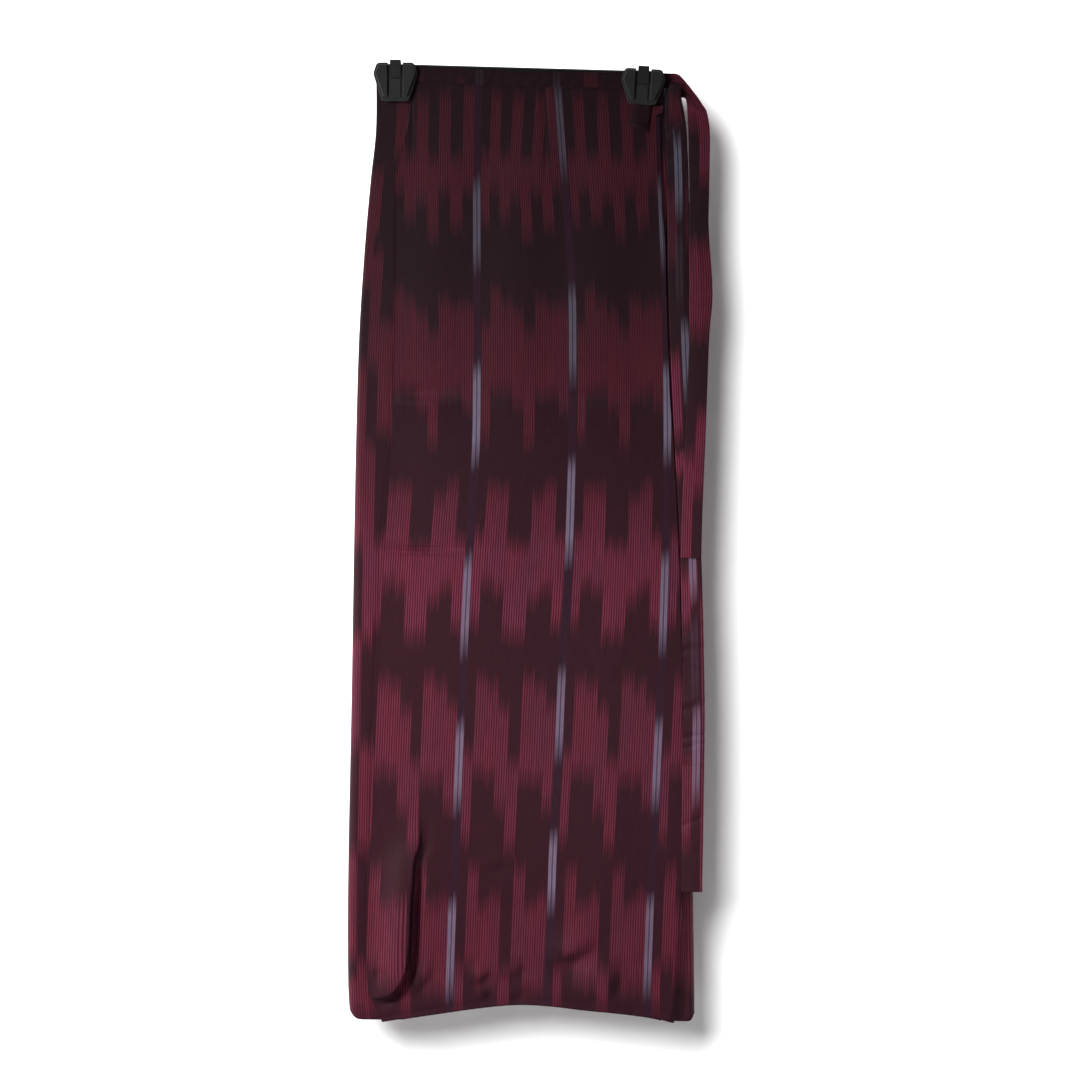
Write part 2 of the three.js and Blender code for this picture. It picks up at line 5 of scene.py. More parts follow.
import bmesh
import bpy
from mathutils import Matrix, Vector


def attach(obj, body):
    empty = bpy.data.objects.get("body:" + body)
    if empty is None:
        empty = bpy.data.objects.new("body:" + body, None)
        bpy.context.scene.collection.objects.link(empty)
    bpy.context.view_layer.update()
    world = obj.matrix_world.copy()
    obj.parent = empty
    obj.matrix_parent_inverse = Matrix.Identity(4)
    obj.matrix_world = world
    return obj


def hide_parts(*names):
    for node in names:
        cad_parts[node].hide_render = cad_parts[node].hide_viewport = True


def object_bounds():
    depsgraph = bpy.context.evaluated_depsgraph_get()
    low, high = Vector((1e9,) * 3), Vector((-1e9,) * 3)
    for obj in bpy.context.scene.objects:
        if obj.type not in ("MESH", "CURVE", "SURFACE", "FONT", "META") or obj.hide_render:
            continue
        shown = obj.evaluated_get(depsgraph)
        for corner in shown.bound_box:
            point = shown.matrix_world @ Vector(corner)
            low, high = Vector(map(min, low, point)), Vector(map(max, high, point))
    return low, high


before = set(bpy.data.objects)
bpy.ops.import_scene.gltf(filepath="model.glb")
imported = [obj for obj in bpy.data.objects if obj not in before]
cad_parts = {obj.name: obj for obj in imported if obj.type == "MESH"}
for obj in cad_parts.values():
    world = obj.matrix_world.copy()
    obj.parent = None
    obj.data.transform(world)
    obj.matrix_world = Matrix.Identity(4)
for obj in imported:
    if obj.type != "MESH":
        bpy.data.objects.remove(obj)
cad_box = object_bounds()

# ---------------------------------------------------------------- back panel
# The largest piece of the skirt, cut from ikat-woven satin and sewn to the waistband. It hangs behind,
# and comes forward round the right fold as a narrow strip beside the overlap.
# Metres. A "drop" is a distance below the top edge of the hanger's bar, where the part's origin is.


def table(names, *rows):
    """Columns of numbers by name, from one row for each height or station."""
    return dict(zip(names.split(), zip(*rows)))


# Where the edges of the folded skirt lie at each drop: its left fold, the overlap's free edge and right
# edge, and its right fold.
SECTIONS = table(
    "drop left_fold free_edge front_right side_fold",
    (0.004, -0.1373, -0.1015, 0.1365, 0.1405),
    (0.060, -0.1376, -0.1078, 0.1315, 0.1445),
    (0.107, -0.1425, -0.1192, 0.1325, 0.1495),
    (0.165, -0.1477, -0.1203, 0.1368, 0.1540),
    (0.250, -0.1533, -0.1205, 0.1394, 0.1570),
    (0.345, -0.1563, -0.1249, 0.1425, 0.1605),
    (0.468, -0.1587, -0.1329, 0.1477, 0.1622),
    (0.600, -0.1608, -0.1388, 0.1515, 0.1630),
    (0.780, -0.1642, -0.1452, 0.1530, 0.1642),
    (0.872, -0.1640, -0.1446, 0.1490, 0.1653),
    (0.908, -0.1618, -0.1305, 0.1452, 0.1656),
)
# The front hem, and the top edge of the waistband, across the skirt.
HEM = table(
    "x drop",
    (-0.137, 0.9072),
    (-0.081, 0.8987),
    (-0.029, 0.8916),
    (0.000, 0.8896),
    (0.030, 0.8913),
    (0.060, 0.8949),
    (0.098, 0.8987),
    (0.125, 0.9025),
    (0.146, 0.9078),
)
BAND_TOP = table(
    "x drop",
    (-0.140, -0.0010),
    (-0.100, -0.0003),
    (-0.048, 0.0026),
    (0.000, 0.0048),
    (0.045, 0.0054),
    (0.100, 0.0059),
    (0.142, 0.0064),
)
# Each layer's depth down to PINCHED_TO and from SPREAD_BY on. Forward is minus.
LAYER_DEPTH = {"overlap": (-0.0042, -0.0125), "under": (-0.0019, -0.0050), "back": (0.0004, 0.0090)}
PINCHED_TO, SPREAD_BY = 0.040, 0.640
CLOTH = 0.0009  # the thickness of a panel
CLOTH_SPACE = 0.0012  # the room that a layer takes where it turns round a fold
BAND_HEIGHT = 0.014
TUCKED = 0.0004  # how far a panel's top edge reaches up into the waistband
INSIDE_LOWER = 0.0006  # how much lower the waistband lies on the two layers behind the overlap
LEFT, RIGHT = -1, 1
TUBE_HALF = 0.1645  # half the width of the skirt at its hem
# The hem's lowest drop at each fold, and how far in from the fold and how far up its corner is rounded.
HEM_CORNERS = {LEFT: (0.9034, 0.015, 0.016), RIGHT: (0.9062, 0.006, 0.007)}
PANEL_ROWS = 150
CROWDING = 1.35  # the rows lie closer together towards the hem, the more this is above 1
SETTLING = 3  # rounds after which a point's place across and its drop agree
# A cut edge's rounding as a share of the cloth's thickness, its segments, and the least turn in degrees.
EDGE_ROUND, EDGE_SEGMENTS, EDGE_TURN = 0.35, 2, 60


def curve(rows, value, by="drop"):
    """A soft curve through one column of a table, read by another column."""
    at, values = rows[by], rows[value]
    last = len(at) - 1
    slopes = []
    for i in range(last + 1):
        before, after = max(i - 1, 0), min(i + 1, last)
        slopes.append((values[after] - values[before]) / (at[after] - at[before]))

    def read(place):
        place = min(max(place, at[0]), at[last])
        i = min(bisect.bisect_right(at, place), last) - 1
        span = at[i + 1] - at[i]
        t = (place - at[i]) / span
        start = (1 + 2 * t) * (1 - t) ** 2 * values[i] + t * (1 - t) ** 2 * span * slopes[i]
        end = t * t * (3 - 2 * t) * values[i + 1] + t * t * (t - 1) * span * slopes[i + 1]
        return start + end

    return read


def lerp(a, b, t):
    return a + (b - a) * t


def soft_step(value, start, end):
    t = min(max((value - start) / (end - start), 0), 1)
    return t * t * (3 - 2 * t)


def depth(layer, drop):
    pinched, spread = LAYER_DEPTH[layer]
    return lerp(pinched, spread, soft_step(drop, PINCHED_TO, SPREAD_BY))


left_outside = curve(SECTIONS, "left_fold")
right_outside = curve(SECTIONS, "side_fold")
free_edge = curve(SECTIONS, "free_edge")
front_right = curve(SECTIONS, "front_right")
front_hem = curve(HEM, "drop", "x")
band_top = curve(BAND_TOP, "drop", "x")


def inside_top(x):
    return band_top(x) + BAND_HEIGHT + INSIDE_LOWER - TUCKED


def tube_hem(x):
    low, reach, rise = HEM_CORNERS[RIGHT if x > 0 else LEFT]
    past = min(max(abs(x) - (TUBE_HALF - reach), 0) / reach, 1)
    return min(front_hem(x), low) - rise * past**3


def fold_turn(side, front, back, start, end, columns):
    """The cloth's way round the left or right fold, between two angles in degrees."""
    outside = right_outside if side == RIGHT else left_outside

    def at(t, drop):
        radius = (back(drop) - front(drop)) / 2
        angle = math.radians(lerp(start, end, t))
        x = outside(drop) - side * (CLOTH_SPACE / 2 + radius) + radius * math.cos(angle)
        return x, (front(drop) + back(drop)) / 2 + radius * math.sin(angle)

    return columns, at


def flat_run(start_x, end_x, lies, columns):
    return columns, lambda t, drop: (lerp(start_x(drop), end_x(drop), t), lies(drop))


def joined(stretches):
    """One way through all the stretches: u runs from 0 to 1 over their columns."""
    total = sum(columns for columns, at in stretches)

    def path(u, drop):
        place = u * total
        for columns, at in stretches[:-1]:
            if place <= columns:
                return at(place / columns, drop)
            place -= columns
        columns, at = stretches[-1]
        return at(min(place / columns, 1), drop)

    return total, path


def hanging(path, top, hem):
    """Runs a path from a top line to a hem line. Gives the place on it and its drop."""

    def surface(u, v):
        down = 1 - (1 - v) ** CROWDING
        x, y = path(u, lerp(BAND_HEIGHT, HEM["drop"][0], down))
        for _ in range(SETTLING):
            drop = lerp(top(x), hem(x), down)
            x, y = path(u, drop)
        return x, y, drop

    return surface


def mesh_object(name, mesh):
    data = bpy.data.meshes.new(name)
    mesh.to_mesh(data)
    mesh.free()
    made = bpy.data.objects.new(name, data)
    bpy.context.scene.collection.objects.link(made)
    return made


def rounded(piece, name, width, segments, least_turn):
    """Rounds the edges of a piece that turn by more than this many degrees."""
    edges = piece.modifiers.new(name, "BEVEL")
    edges.width = width
    edges.segments = segments
    edges.limit_method = "ANGLE"
    edges.angle_limit = math.radians(least_turn)


def cloth_piece(name, columns, rows, lay, thickness=CLOTH):
    """A grid of cloth. lay(u, v) gives a point's place and a function of the face's own u,
    which says how far across the woven cloth, and how far down it, the point lies."""
    mesh = bmesh.new()
    bmesh.ops.create_grid(mesh, x_segments=columns, y_segments=rows, size=0.5)
    laid = {vert: (vert.co.x + 0.5, *lay(vert.co.x + 0.5, 0.5 - vert.co.y)) for vert in mesh.verts}
    weave = mesh.loops.layers.uv.new("Weave")
    for face in mesh.faces:
        middle = sum(laid[vert][0] for vert in face.verts) / len(face.verts)
        for loop in face.loops:
            loop[weave].uv = laid[loop.vert][2](middle)
        face.smooth = True
    for vert, (u, place, woven) in laid.items():
        vert.co = place
    piece = mesh_object(name, mesh)
    wall = piece.modifiers.new("Thickness", "SOLIDIFY")
    wall.thickness = thickness
    wall.offset = 0
    rounded(piece, "Turned edges", thickness * EDGE_ROUND, EDGE_SEGMENTS, EDGE_TURN)
    return piece


def new_material(name):
    """A material, its nodes and its main shader."""
    material = bpy.data.materials.new(name)
    material.use_nodes = True
    tree = material.node_tree
    return material, tree, tree.nodes["Principled BSDF"]


def fill(tree, socket, value):
    """Links a socket to another node's output, or sets it to a value where one is given."""
    if isinstance(value, bpy.types.NodeSocket):
        tree.links.new(value, socket)
    elif value is not None:
        socket.default_value = value


def node(tree, kind, *inputs, out=0, **settings):
    """Adds a shader node with its settings and its inputs in order, and returns one output."""
    made = tree.nodes.new("ShaderNode" + kind)
    for key, value in settings.items():
        setattr(made, key, value)
    for socket, value in zip(made.inputs, inputs):
        fill(tree, socket, value)
    return made.outputs[out]


def math_node(tree, operation, *inputs):
    return node(tree, "Math", *inputs, operation=operation)


MIX_INPUTS, MIX_COLOUR = (0, 6, 7), 2  # a Mix node's sockets for the share and two colours, and its output


def mixed(tree, share, first, second, blend="MIX"):
    """Two colours mixed by a share from 0 to 1."""
    made = tree.nodes.new("ShaderNodeMix")
    made.data_type = "RGBA"
    made.blend_type = blend
    for i, value in zip(MIX_INPUTS, (share, first, second)):
        fill(tree, made.inputs[i], (*value, 1) if isinstance(value, tuple) else value)
    return made.outputs[MIX_COLOUR]


def shaded(tree, colour, shade):
    """A colour made darker or lighter by a value around 1."""
    return mixed(tree, 1.0, colour, node(tree, "CombineColor", shade, shade, shade), "MULTIPLY")


def varied(tree, value, noise, amount):
    """A value moved down and up by a noise around 0.5."""
    return math_node(tree, "MULTIPLY_ADD", math_node(tree, "SUBTRACT", noise, 0.5), amount, value)


def raised(tree, surface, height, strength, distance):
    """Shades a surface as if it were raised by a height."""
    made = tree.nodes.new("ShaderNodeBump")
    made.inputs["Strength"].default_value = strength
    made.inputs["Distance"].default_value = distance
    tree.links.new(height, made.inputs["Height"])
    tree.links.new(made.outputs[0], surface.inputs["Normal"])


def set_gloss(surface, roughness, specular):
    surface.inputs["Roughness"].default_value = roughness
    surface.inputs["Specular IOR Level"].default_value = specular


REACH = 0.95  # the length of warp that a dye chart covers
BUNDLE = 0.00223  # the width of one bundle of warp threads, which is tied and dyed as one
STRIPE_HALF = 0.0035  # half the width of a slate stripe
# How far the dye's fade reaches before and after the start of a length, and before and after its end.
DYE_BLEED = {"red": (0.010, 0.010, 0.012, 0.012), "pale": (0.0, 0.020, 0.032, 0.0)}
# The colours of the dyed warp. ABOVE is near the waist, BELOW from the middle of the skirt down. BELOW is a
# redder dye, and is also painted lighter: painted light, as if more light fell on the lower skirt.
BLACK_ABOVE_PAINTED_DIM = (0.0190, 0.0074, 0.0108)
BLACK_BELOW_REDDER_PAINTED_LIT = (0.031, 0.0070, 0.0126)
MADDER = (0.185, 0.0250, 0.0530)
MADDER_DEEP = (0.050, 0.0078, 0.0148)
MADDER_PLUM = (0.142, 0.0270, 0.0610)
MADDER_THIN = (0.135, 0.0150, 0.0230)
SLATE_ABOVE_PAINTED_DIM = (0.136, 0.133, 0.182)
SLATE_BELOW_REDDER_PAINTED_LIT = (0.185, 0.132, 0.202)
SLATE_GROUND = (0.027, 0.0085, 0.0180)
GROUND_AND_PAINTED_LIGHT_CHANGE = (0.20, 0.50)  # the drops between which ABOVE turns into BELOW
# How strongly the red took at each drop: each band across the cloth was dyed by itself.
BATHS = (
    (0.030, 0.40), (0.100, 0.50), (0.140, 0.46), (0.230, 0.41), (0.310, 0.55),
    (0.390, 0.60), (0.430, 0.78), (0.460, 0.93), (0.540, 0.96), (0.590, 0.76),
    (0.660, 0.82), (0.730, 0.80), (0.770, 0.70), (0.830, 0.80),
)
# Eight bundles' columns between two stripes: where each starts and ends across the cloth, and the
# lengths of it that are dyed red, as drops.
STRIPE_REPEAT = 0.0907
IKAT_REDS = (
    (0.0043, 0.0124, (0.084, 0.147), (0.246, 0.352), (0.445, 0.528), (0.651, 0.734), (0.853, 0.894)),
    (0.0124, 0.0228, (0.027, 0.115), (0.212, 0.307), (0.399, 0.490), (0.582, 0.668), (0.761, 0.851)),
    (0.0228, 0.0337, (0.086, 0.143), (0.224, 0.307), (0.400, 0.497), (0.588, 0.672), (0.796, 0.867)),
    (0.0337, 0.0447, (0.029, 0.124), (0.234, 0.322), (0.454, 0.539), (0.609, 0.704), (0.788, 0.869)),
    (0.0447, 0.0551, (0.088, 0.160), (0.252, 0.356), (0.454, 0.539), (0.659, 0.740), (0.858, 0.894)),
    (0.0551, 0.0660, (0.027, 0.117), (0.221, 0.310), (0.409, 0.506), (0.580, 0.675), (0.761, 0.853)),
    (0.0660, 0.0774, (0.088, 0.150), (0.229, 0.309), (0.397, 0.495), (0.589, 0.677), (0.796, 0.875)),
    (0.0774, 0.0874, (0.020, 0.114), (0.226, 0.323), (0.447, 0.530), (0.605, 0.702), (0.787, 0.875)),
)
# The stripes come in two kinds by turns, each slate at its own lengths and by its own strength.
IKAT_STRIPES = (
    (
        (0.100, 0.198, 0.60), (0.277, 0.383, 1.0), (0.458, 0.563, 0.85),
        (0.615, 0.711, 0.85), (0.783, 0.888, 0.78),
    ),
    (
        (0.010, 0.112, 0.42), (0.202, 0.307, 0.60), (0.366, 0.478, 0.95),
        (0.565, 0.663, 0.80), (0.720, 0.807, 0.90),
    ),
)
TIED_UNEVEN = 0.006  # how far the dye's ends differ from one bundle to the next
SLACK_UNEVEN, SLACK_SCALE = 0.010, 210.0  # the same from group to group, and how finely they change
PINSTRIPE = 0.85  # how strongly light and deep bundles take turns within the red
# Noises stretched along the warp: how fine each is across and down the cloth.
STREAKS, STREAK_DEPTH = (900.0, 14.0, 1.0), 1.6  # how uneven the pinstripes are
LOTS, LOT_RANGE = (60.0, 9.0, 1.0), (0.35, 0.65)  # patches of plum in the madder
SLUBS, SLUB_RANGE, SLUB_SHADE = (2600.0, 60.0, 1.0), (0.3, 0.7), (0.82, 1.18)  # thick and thin threads
BRICK_SHARE = 1.1  # how far the red turns brick where the dye is thin
STRIPE_SOFT = 0.0004  # how softly a stripe's edge ends, to each side
STRIPE_CORE = (0.0003, 0.0009, 0.25)  # the dull line along its middle: inside, outside, and its strength
STRIPE_SIDE, SIDE_STRENGTH = (0.0021, 0.00022), 0.72  # the finer lines beside it: place and half width
THREAD = 0.00056  # the width of one warp thread
THREAD_HEIGHT, SLUB_HEIGHT = 0.5, 1.4
SATIN_RELIEF = (0.25, 0.0002)  # the strength and the distance of its bump
SATIN_GLOSS = (0.5, 0.09)  # roughness and specular level


def ramp(tree, drop, stops):
    """A value that changes evenly from each stop to the next. A stop is a drop and its value."""
    made = tree.nodes.new("ShaderNodeValToRGB")
    tree.links.new(drop, made.inputs[0])
    first, last = made.color_ramp.elements
    first.color = (stops[0][1],) * 3 + (1,)
    last.color = (stops[-1][1],) * 3 + (1,)
    for place, value in stops[1:-1]:
        if place <= 0:
            first.color = (value, value, value, 1)
        elif place < REACH:
            made.color_ramp.elements.new(place / REACH).color = (value, value, value, 1)
    return made.outputs[0]


def dyed(tree, drop, lengths, dye):
    """How strongly a column of warp is dyed along its lengths, and 0 between them."""
    before, into, out_of, after = DYE_BLEED[dye]
    stops = []
    for start, end, *strength in lengths:
        full = strength[0] if strength else 1.0
        stops += [(start - before, 0), (start + into, full), (end - out_of, full), (end + after, 0)]
    return ramp(tree, drop, [(0.0, 0), *stops, (REACH, 0)])


def between(tree, value, start, end):
    return math_node(tree, "COMPARE", value, (start + end) / 2, (end - start) / 2)


def woven_noise(tree, uv, scale, detail):
    return node(tree, "TexNoise", node(tree, "Mapping", uv, None, None, scale), None, 1.0, detail)


def ikat_satin(name, reds, repeat=None, stripes=(), stripe_lines=(), baths=((0.0, 1.0), (REACH, 1.0))):
    """Warp-dyed satin. reds are the columns that have red lengths, all within one repeat.
    stripes are the lengths where the dark stripes between the repeats turn slate, and
    stripe_lines puts slate elsewhere, as pairs of a place across and its lengths."""
    material, tree, surface = new_material(name)
    uv = node(tree, "UVMap", uv_map="Weave")
    places = tree.nodes.new("ShaderNodeSeparateXYZ")
    tree.links.new(uv, places.inputs[0])
    across, drop = places.outputs[0], places.outputs[1]

    # Every bundle was tied a little higher or lower than the next, so the dye's ends are ragged.
    bundle = math_node(tree, "FLOOR", math_node(tree, "DIVIDE", across, BUNDLE))
    tied = node(tree, "TexWhiteNoise", None, bundle, noise_dimensions="1D")
    groups = math_node(tree, "MULTIPLY", across, SLACK_SCALE)
    slack = node(tree, "TexNoise", None, groups, 1.0, 2.0, noise_dimensions="1D")
    ragged = varied(tree, drop, tied, TIED_UNEVEN)
    ragged = varied(tree, ragged, slack, SLACK_UNEVEN)
    along = math_node(tree, "DIVIDE", ragged, REACH)

    place = math_node(tree, "FLOORED_MODULO", across, repeat) if repeat else across
    redness = 0.0
    for start, end, *lengths in reds:
        here = between(tree, place, start, end)
        redness = math_node(tree, "MULTIPLY_ADD", here, dyed(tree, along, lengths, "red"), redness)
    redness = math_node(tree, "MULTIPLY", redness, ramp(tree, along, baths))

    # Within the red, light and deep bundles lie side by side as pinstripes.
    phase = math_node(tree, "MULTIPLY", across, 2 * math.pi / BUNDLE)
    pin = math_node(tree, "MULTIPLY_ADD", math_node(tree, "SINE", phase), PINSTRIPE, 0.5)
    uneven = varied(tree, pin, woven_noise(tree, uv, STREAKS, 3.0), STREAK_DEPTH)
    lot = node(tree, "MapRange", woven_noise(tree, uv, LOTS, 1.0), *LOT_RANGE, 0.0, 1.0)
    light_red = mixed(tree, lot, MADDER, MADDER_PLUM)
    # The dye turns brick red where it is thin, at the ends of its lengths.
    thinness = math_node(tree, "PINGPONG", redness, 0.5)
    light_red = mixed(tree, math_node(tree, "MULTIPLY", thinness, BRICK_SHARE), light_red, MADDER_THIN)
    red = mixed(tree, uneven, MADDER_DEEP, light_red)
    # How far down towards the hem the cloth lies. Lower down, the ground and the slate turn redder and are
    # painted lighter, as painted light falling more on the lower skirt.
    lower = node(tree, "MapRange", drop, *GROUND_AND_PAINTED_LIGHT_CHANGE, 0.0, 1.0)
    ground = mixed(tree, lower, BLACK_ABOVE_PAINTED_DIM, BLACK_BELOW_REDDER_PAINTED_LIT)
    colour = mixed(tree, redness, ground, red)

    lines = []
    if stripes:
        even = math_node(tree, "PINGPONG", across, repeat)
        lines = [(even, stripes[0], True), (math_node(tree, "SUBTRACT", repeat, even), stripes[1], True)]
    for centre, lengths in stripe_lines:
        away = math_node(tree, "ABSOLUTE", math_node(tree, "SUBTRACT", across, centre))
        lines.append((away, lengths, False))
    for away, lengths, darkened in lines:
        edge = node(tree, "MapRange", away, STRIPE_HALF + STRIPE_SOFT, STRIPE_HALF - STRIPE_SOFT, 0.0, 1.0)
        core = node(tree, "MapRange", away, *STRIPE_CORE, 1.0)
        beside = math_node(tree, "COMPARE", away, *STRIPE_SIDE)
        side_line = node(tree, "MapRange", beside, 0.0, 1.0, 1.0, SIDE_STRENGTH)
        thread = math_node(tree, "MULTIPLY", math_node(tree, "MULTIPLY", core, side_line), edge)
        slate = math_node(tree, "MULTIPLY", dyed(tree, along, lengths, "pale"), thread)
        if darkened:
            colour = mixed(tree, edge, colour, SLATE_GROUND)
        colour = mixed(tree, slate, colour, mixed(tree, lower, SLATE_ABOVE_PAINTED_DIM, SLATE_BELOW_REDDER_PAINTED_LIT))

    fine = woven_noise(tree, uv, SLUBS, 2.0)
    shade = node(tree, "MapRange", fine, *SLUB_RANGE, *SLUB_SHADE)
    tree.links.new(shaded(tree, colour, shade), surface.inputs["Base Color"])
    threads = math_node(tree, "SINE", math_node(tree, "MULTIPLY", across, 2 * math.pi / THREAD))
    threads = math_node(tree, "MULTIPLY", threads, THREAD_HEIGHT)
    height = math_node(tree, "MULTIPLY_ADD", fine, SLUB_HEIGHT, threads)
    raised(tree, surface, height, *SATIN_RELIEF)
    set_gloss(surface, *SATIN_GLOSS)
    return material


STRIP_BEHIND_FRONT = 0.007  # how far the side strip reaches in behind the overlap's right edge
BACK_WARP_START = 0.021  # how far into the repeat the strip's inner edge is cut
STRIP_STRIPE = ((0.0356, ((-0.010, 0.052, 0.8),)),)
MEASURED_AT = 0.45  # the drop at which the way round the cloth is measured
# The back is a little shorter in the middle, and is full length again between these distances from it.
BACK_HEM_SHORT, BACK_HEM_FULL = 0.002, (0.100, 0.160)
# The slow wave of the hanging back, the drops between which it grows, and where it ends at the sides.
BACK_DRAPE = {"height": 0.0016, "width": 0.031, "slant": 0.21, "phase": 0.6, "grows": (0.12, 0.55)}
BACK_DRAPE_ENDS = (0.12, 0.15)


def drape(wave, x, drop):
    swing = 0.5 + 0.5 * math.sin(x / wave["width"] + drop / wave["slant"] + wave["phase"])
    return wave["height"] * swing * soft_step(drop, *wave["grows"])


def under_depth(drop):
    return depth("under", drop)


def back_depth(drop):
    return depth("back", drop)


def back_radius(drop):
    return (back_depth(drop) - under_depth(drop)) / 2


def woven_reach(path, columns, drop):
    """How far round the cloth each column lies from its first edge, measured at one drop."""
    places = [Vector(path(i / columns, drop)) for i in range(columns + 1)]
    steps = [(after - before).length for before, after in zip(places, places[1:])]
    return list(itertools.accumulate(steps, initial=0.0))


def back_cloth():
    def left_end(drop):
        return left_outside(drop) + CLOTH_SPACE / 2 + back_radius(drop)

    def side_start(drop):
        return right_outside(drop) - CLOTH_SPACE / 2 - back_radius(drop)

    def inner_edge(drop):
        return front_right(drop) - STRIP_BEHIND_FRONT

    stretches = [
        flat_run(inner_edge, side_start, under_depth, columns=8),
        fold_turn(RIGHT, under_depth, back_depth, start=-90, end=90, columns=12),
        flat_run(side_start, left_end, back_depth, columns=90),
        fold_turn(LEFT, under_depth, back_depth, start=90, end=178, columns=8),
    ]
    columns, path = joined(stretches)
    reach = woven_reach(path, columns, MEASURED_AT)

    def hem(x):
        return tube_hem(x) - BACK_HEM_SHORT * (1 - soft_step(abs(x), *BACK_HEM_FULL))

    surface = hanging(path, inside_top, hem)

    def lay(u, v):
        x, y, drop = surface(u, v)
        on_back = soft_step(y, lerp(under_depth(drop), back_depth(drop), 0.5), back_depth(drop))
        sway = drape(BACK_DRAPE, x, drop) * on_back * (1 - soft_step(abs(x), *BACK_DRAPE_ENDS))
        across = BACK_WARP_START + reach[round(u * columns)]
        return Vector((x, y + sway, -drop)), lambda middle: (across, drop)

    return cloth_piece("back_cloth", columns, PANEL_ROWS, lay)


back_cloth_piece = back_cloth()
back_satin = ikat_satin("ikat_satin_back", IKAT_REDS, STRIPE_REPEAT, IKAT_STRIPES, STRIP_STRIPE, BATHS)
back_cloth_piece.data.materials.append(back_satin)
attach(back_cloth_piece, "root")
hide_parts("back_panel")

# ---------------------------------------------------------------- under panel
# The front panel that is wrapped first. It starts at the seam in the left fold, runs below the overlap
# and shows beside its free edge as a narrow strip. It is sewn to the inner end of the waistband.

UNDER_HEM_LOWER = 0.0012
# Wrinkles across the strip that shows: drop, height and width. They run down to the right by UNDER_SLANT.
UNDER_WRINKLES = (
    (0.459, 0.0006, 0.0030),
    (0.7440, 0.0007, 0.0040),
    (0.7530, -0.0008, 0.0040),
    (0.872, 0.0005, 0.004),
)
UNDER_SLANT = 0.3
BAND_END_SHORT = 0.012  # how far the band's inner end stops short of the overlap's right edge
UNDER_WARP_START = 0.0090  # how far into its chart the panel's seam in the left fold lies
UNDER_REDS = (
    (0.0000, 0.0182, (0.100, 0.207), (0.283, 0.454), (0.540, 0.644), (0.746, 0.848), (0.863, 0.898)),
    (0.0182, 0.0212, (0.100, 0.165), (0.174, 0.283), (0.359, 0.544), (0.644, 0.744), (0.850, 0.898)),
    (0.0212, 0.0280, (0.174, 0.283), (0.359, 0.544), (0.644, 0.744), (0.850, 0.898)),
    (0.0280, 0.0413, (0.034, 0.084), (0.245, 0.345), (0.454, 0.530), (0.640, 0.730), (0.850, 0.895)),
    *IKAT_REDS[4:],
)
under_satin = ikat_satin("ikat_satin_under", UNDER_REDS, STRIPE_REPEAT, baths=BATHS)


def bump(value, width):
    """A soft bump, 1 in the middle and nearly gone at twice its width."""
    return math.exp(-((value / width) ** 2))


def under_cloth():
    def past_fold(drop):
        return left_outside(drop) + CLOTH_SPACE / 2 + back_radius(drop)

    def right_end(drop):
        return front_right(drop) - BAND_END_SHORT

    stretches = [
        fold_turn(LEFT, under_depth, back_depth, start=182, end=270, columns=8),
        flat_run(past_fold, right_end, under_depth, columns=70),
    ]
    columns, path = joined(stretches)
    surface = hanging(path, inside_top, lambda x: tube_hem(x) + UNDER_HEM_LOWER)

    def lay(u, v):
        x, y, drop = surface(u, v)
        bend = y - under_depth(drop)
        across = UNDER_WARP_START + x - left_outside(drop) - bend / 2
        for at, height, width in UNDER_WRINKLES:
            y -= height * bump(drop - at - UNDER_SLANT * (x - left_outside(drop)), width)
        return Vector((x, y, -drop)), lambda middle: (across, drop)

    return cloth_piece("under_cloth", columns, PANEL_ROWS, lay)


under_cloth_piece = under_cloth()
under_cloth_piece.data.materials.append(under_satin)
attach(under_cloth_piece, "root")
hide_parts("under_panel")

# ---------------------------------------------------------------- overlap panel
# The front panel that is wrapped last and lies on top, with its turned free edge at the left. Two
# darts take it in below the waistband, and near the hem it billows out over itself on the left.

# The woven lines that the panel's columns follow: the middles of its slate stripes, and the line of
# the centre dart, which swallows part of the cloth's width above its tip.
STRIPE_LINES = table(
    "drop first second third",
    (0.018, -0.0400, 0.0347, 0.1320),
    (0.104, -0.0413, 0.0412, 0.1335),
    (0.204, -0.0413, 0.0485, 0.1372),
    (0.292, -0.0413, 0.0496, 0.1389),
    (0.367, -0.0426, 0.0488, 0.1392),
    (0.467, -0.0494, 0.0456, 0.1371),
    (0.574, -0.0547, 0.0394, 0.1337),
    (0.658, -0.0584, 0.0356, 0.1296),
    (0.739, -0.0615, 0.0309, 0.1262),
    (0.792, -0.0644, 0.0290, 0.1230),
    (0.878, -0.0675, 0.0253, 0.1198),
)
DART = {"top": 0.018, "tip": 0.117, "left": 0.693, "right": 0.853, "woven": 0.773}
DART_JOINS = 0.01  # half the length over which the dart's line joins the woven line below its tip
DART_OPEN = 0.02  # how far above its top the dart would be fully open
STRIPE_APART = 0.0925  # how far apart the stripes lie beyond the first and the third
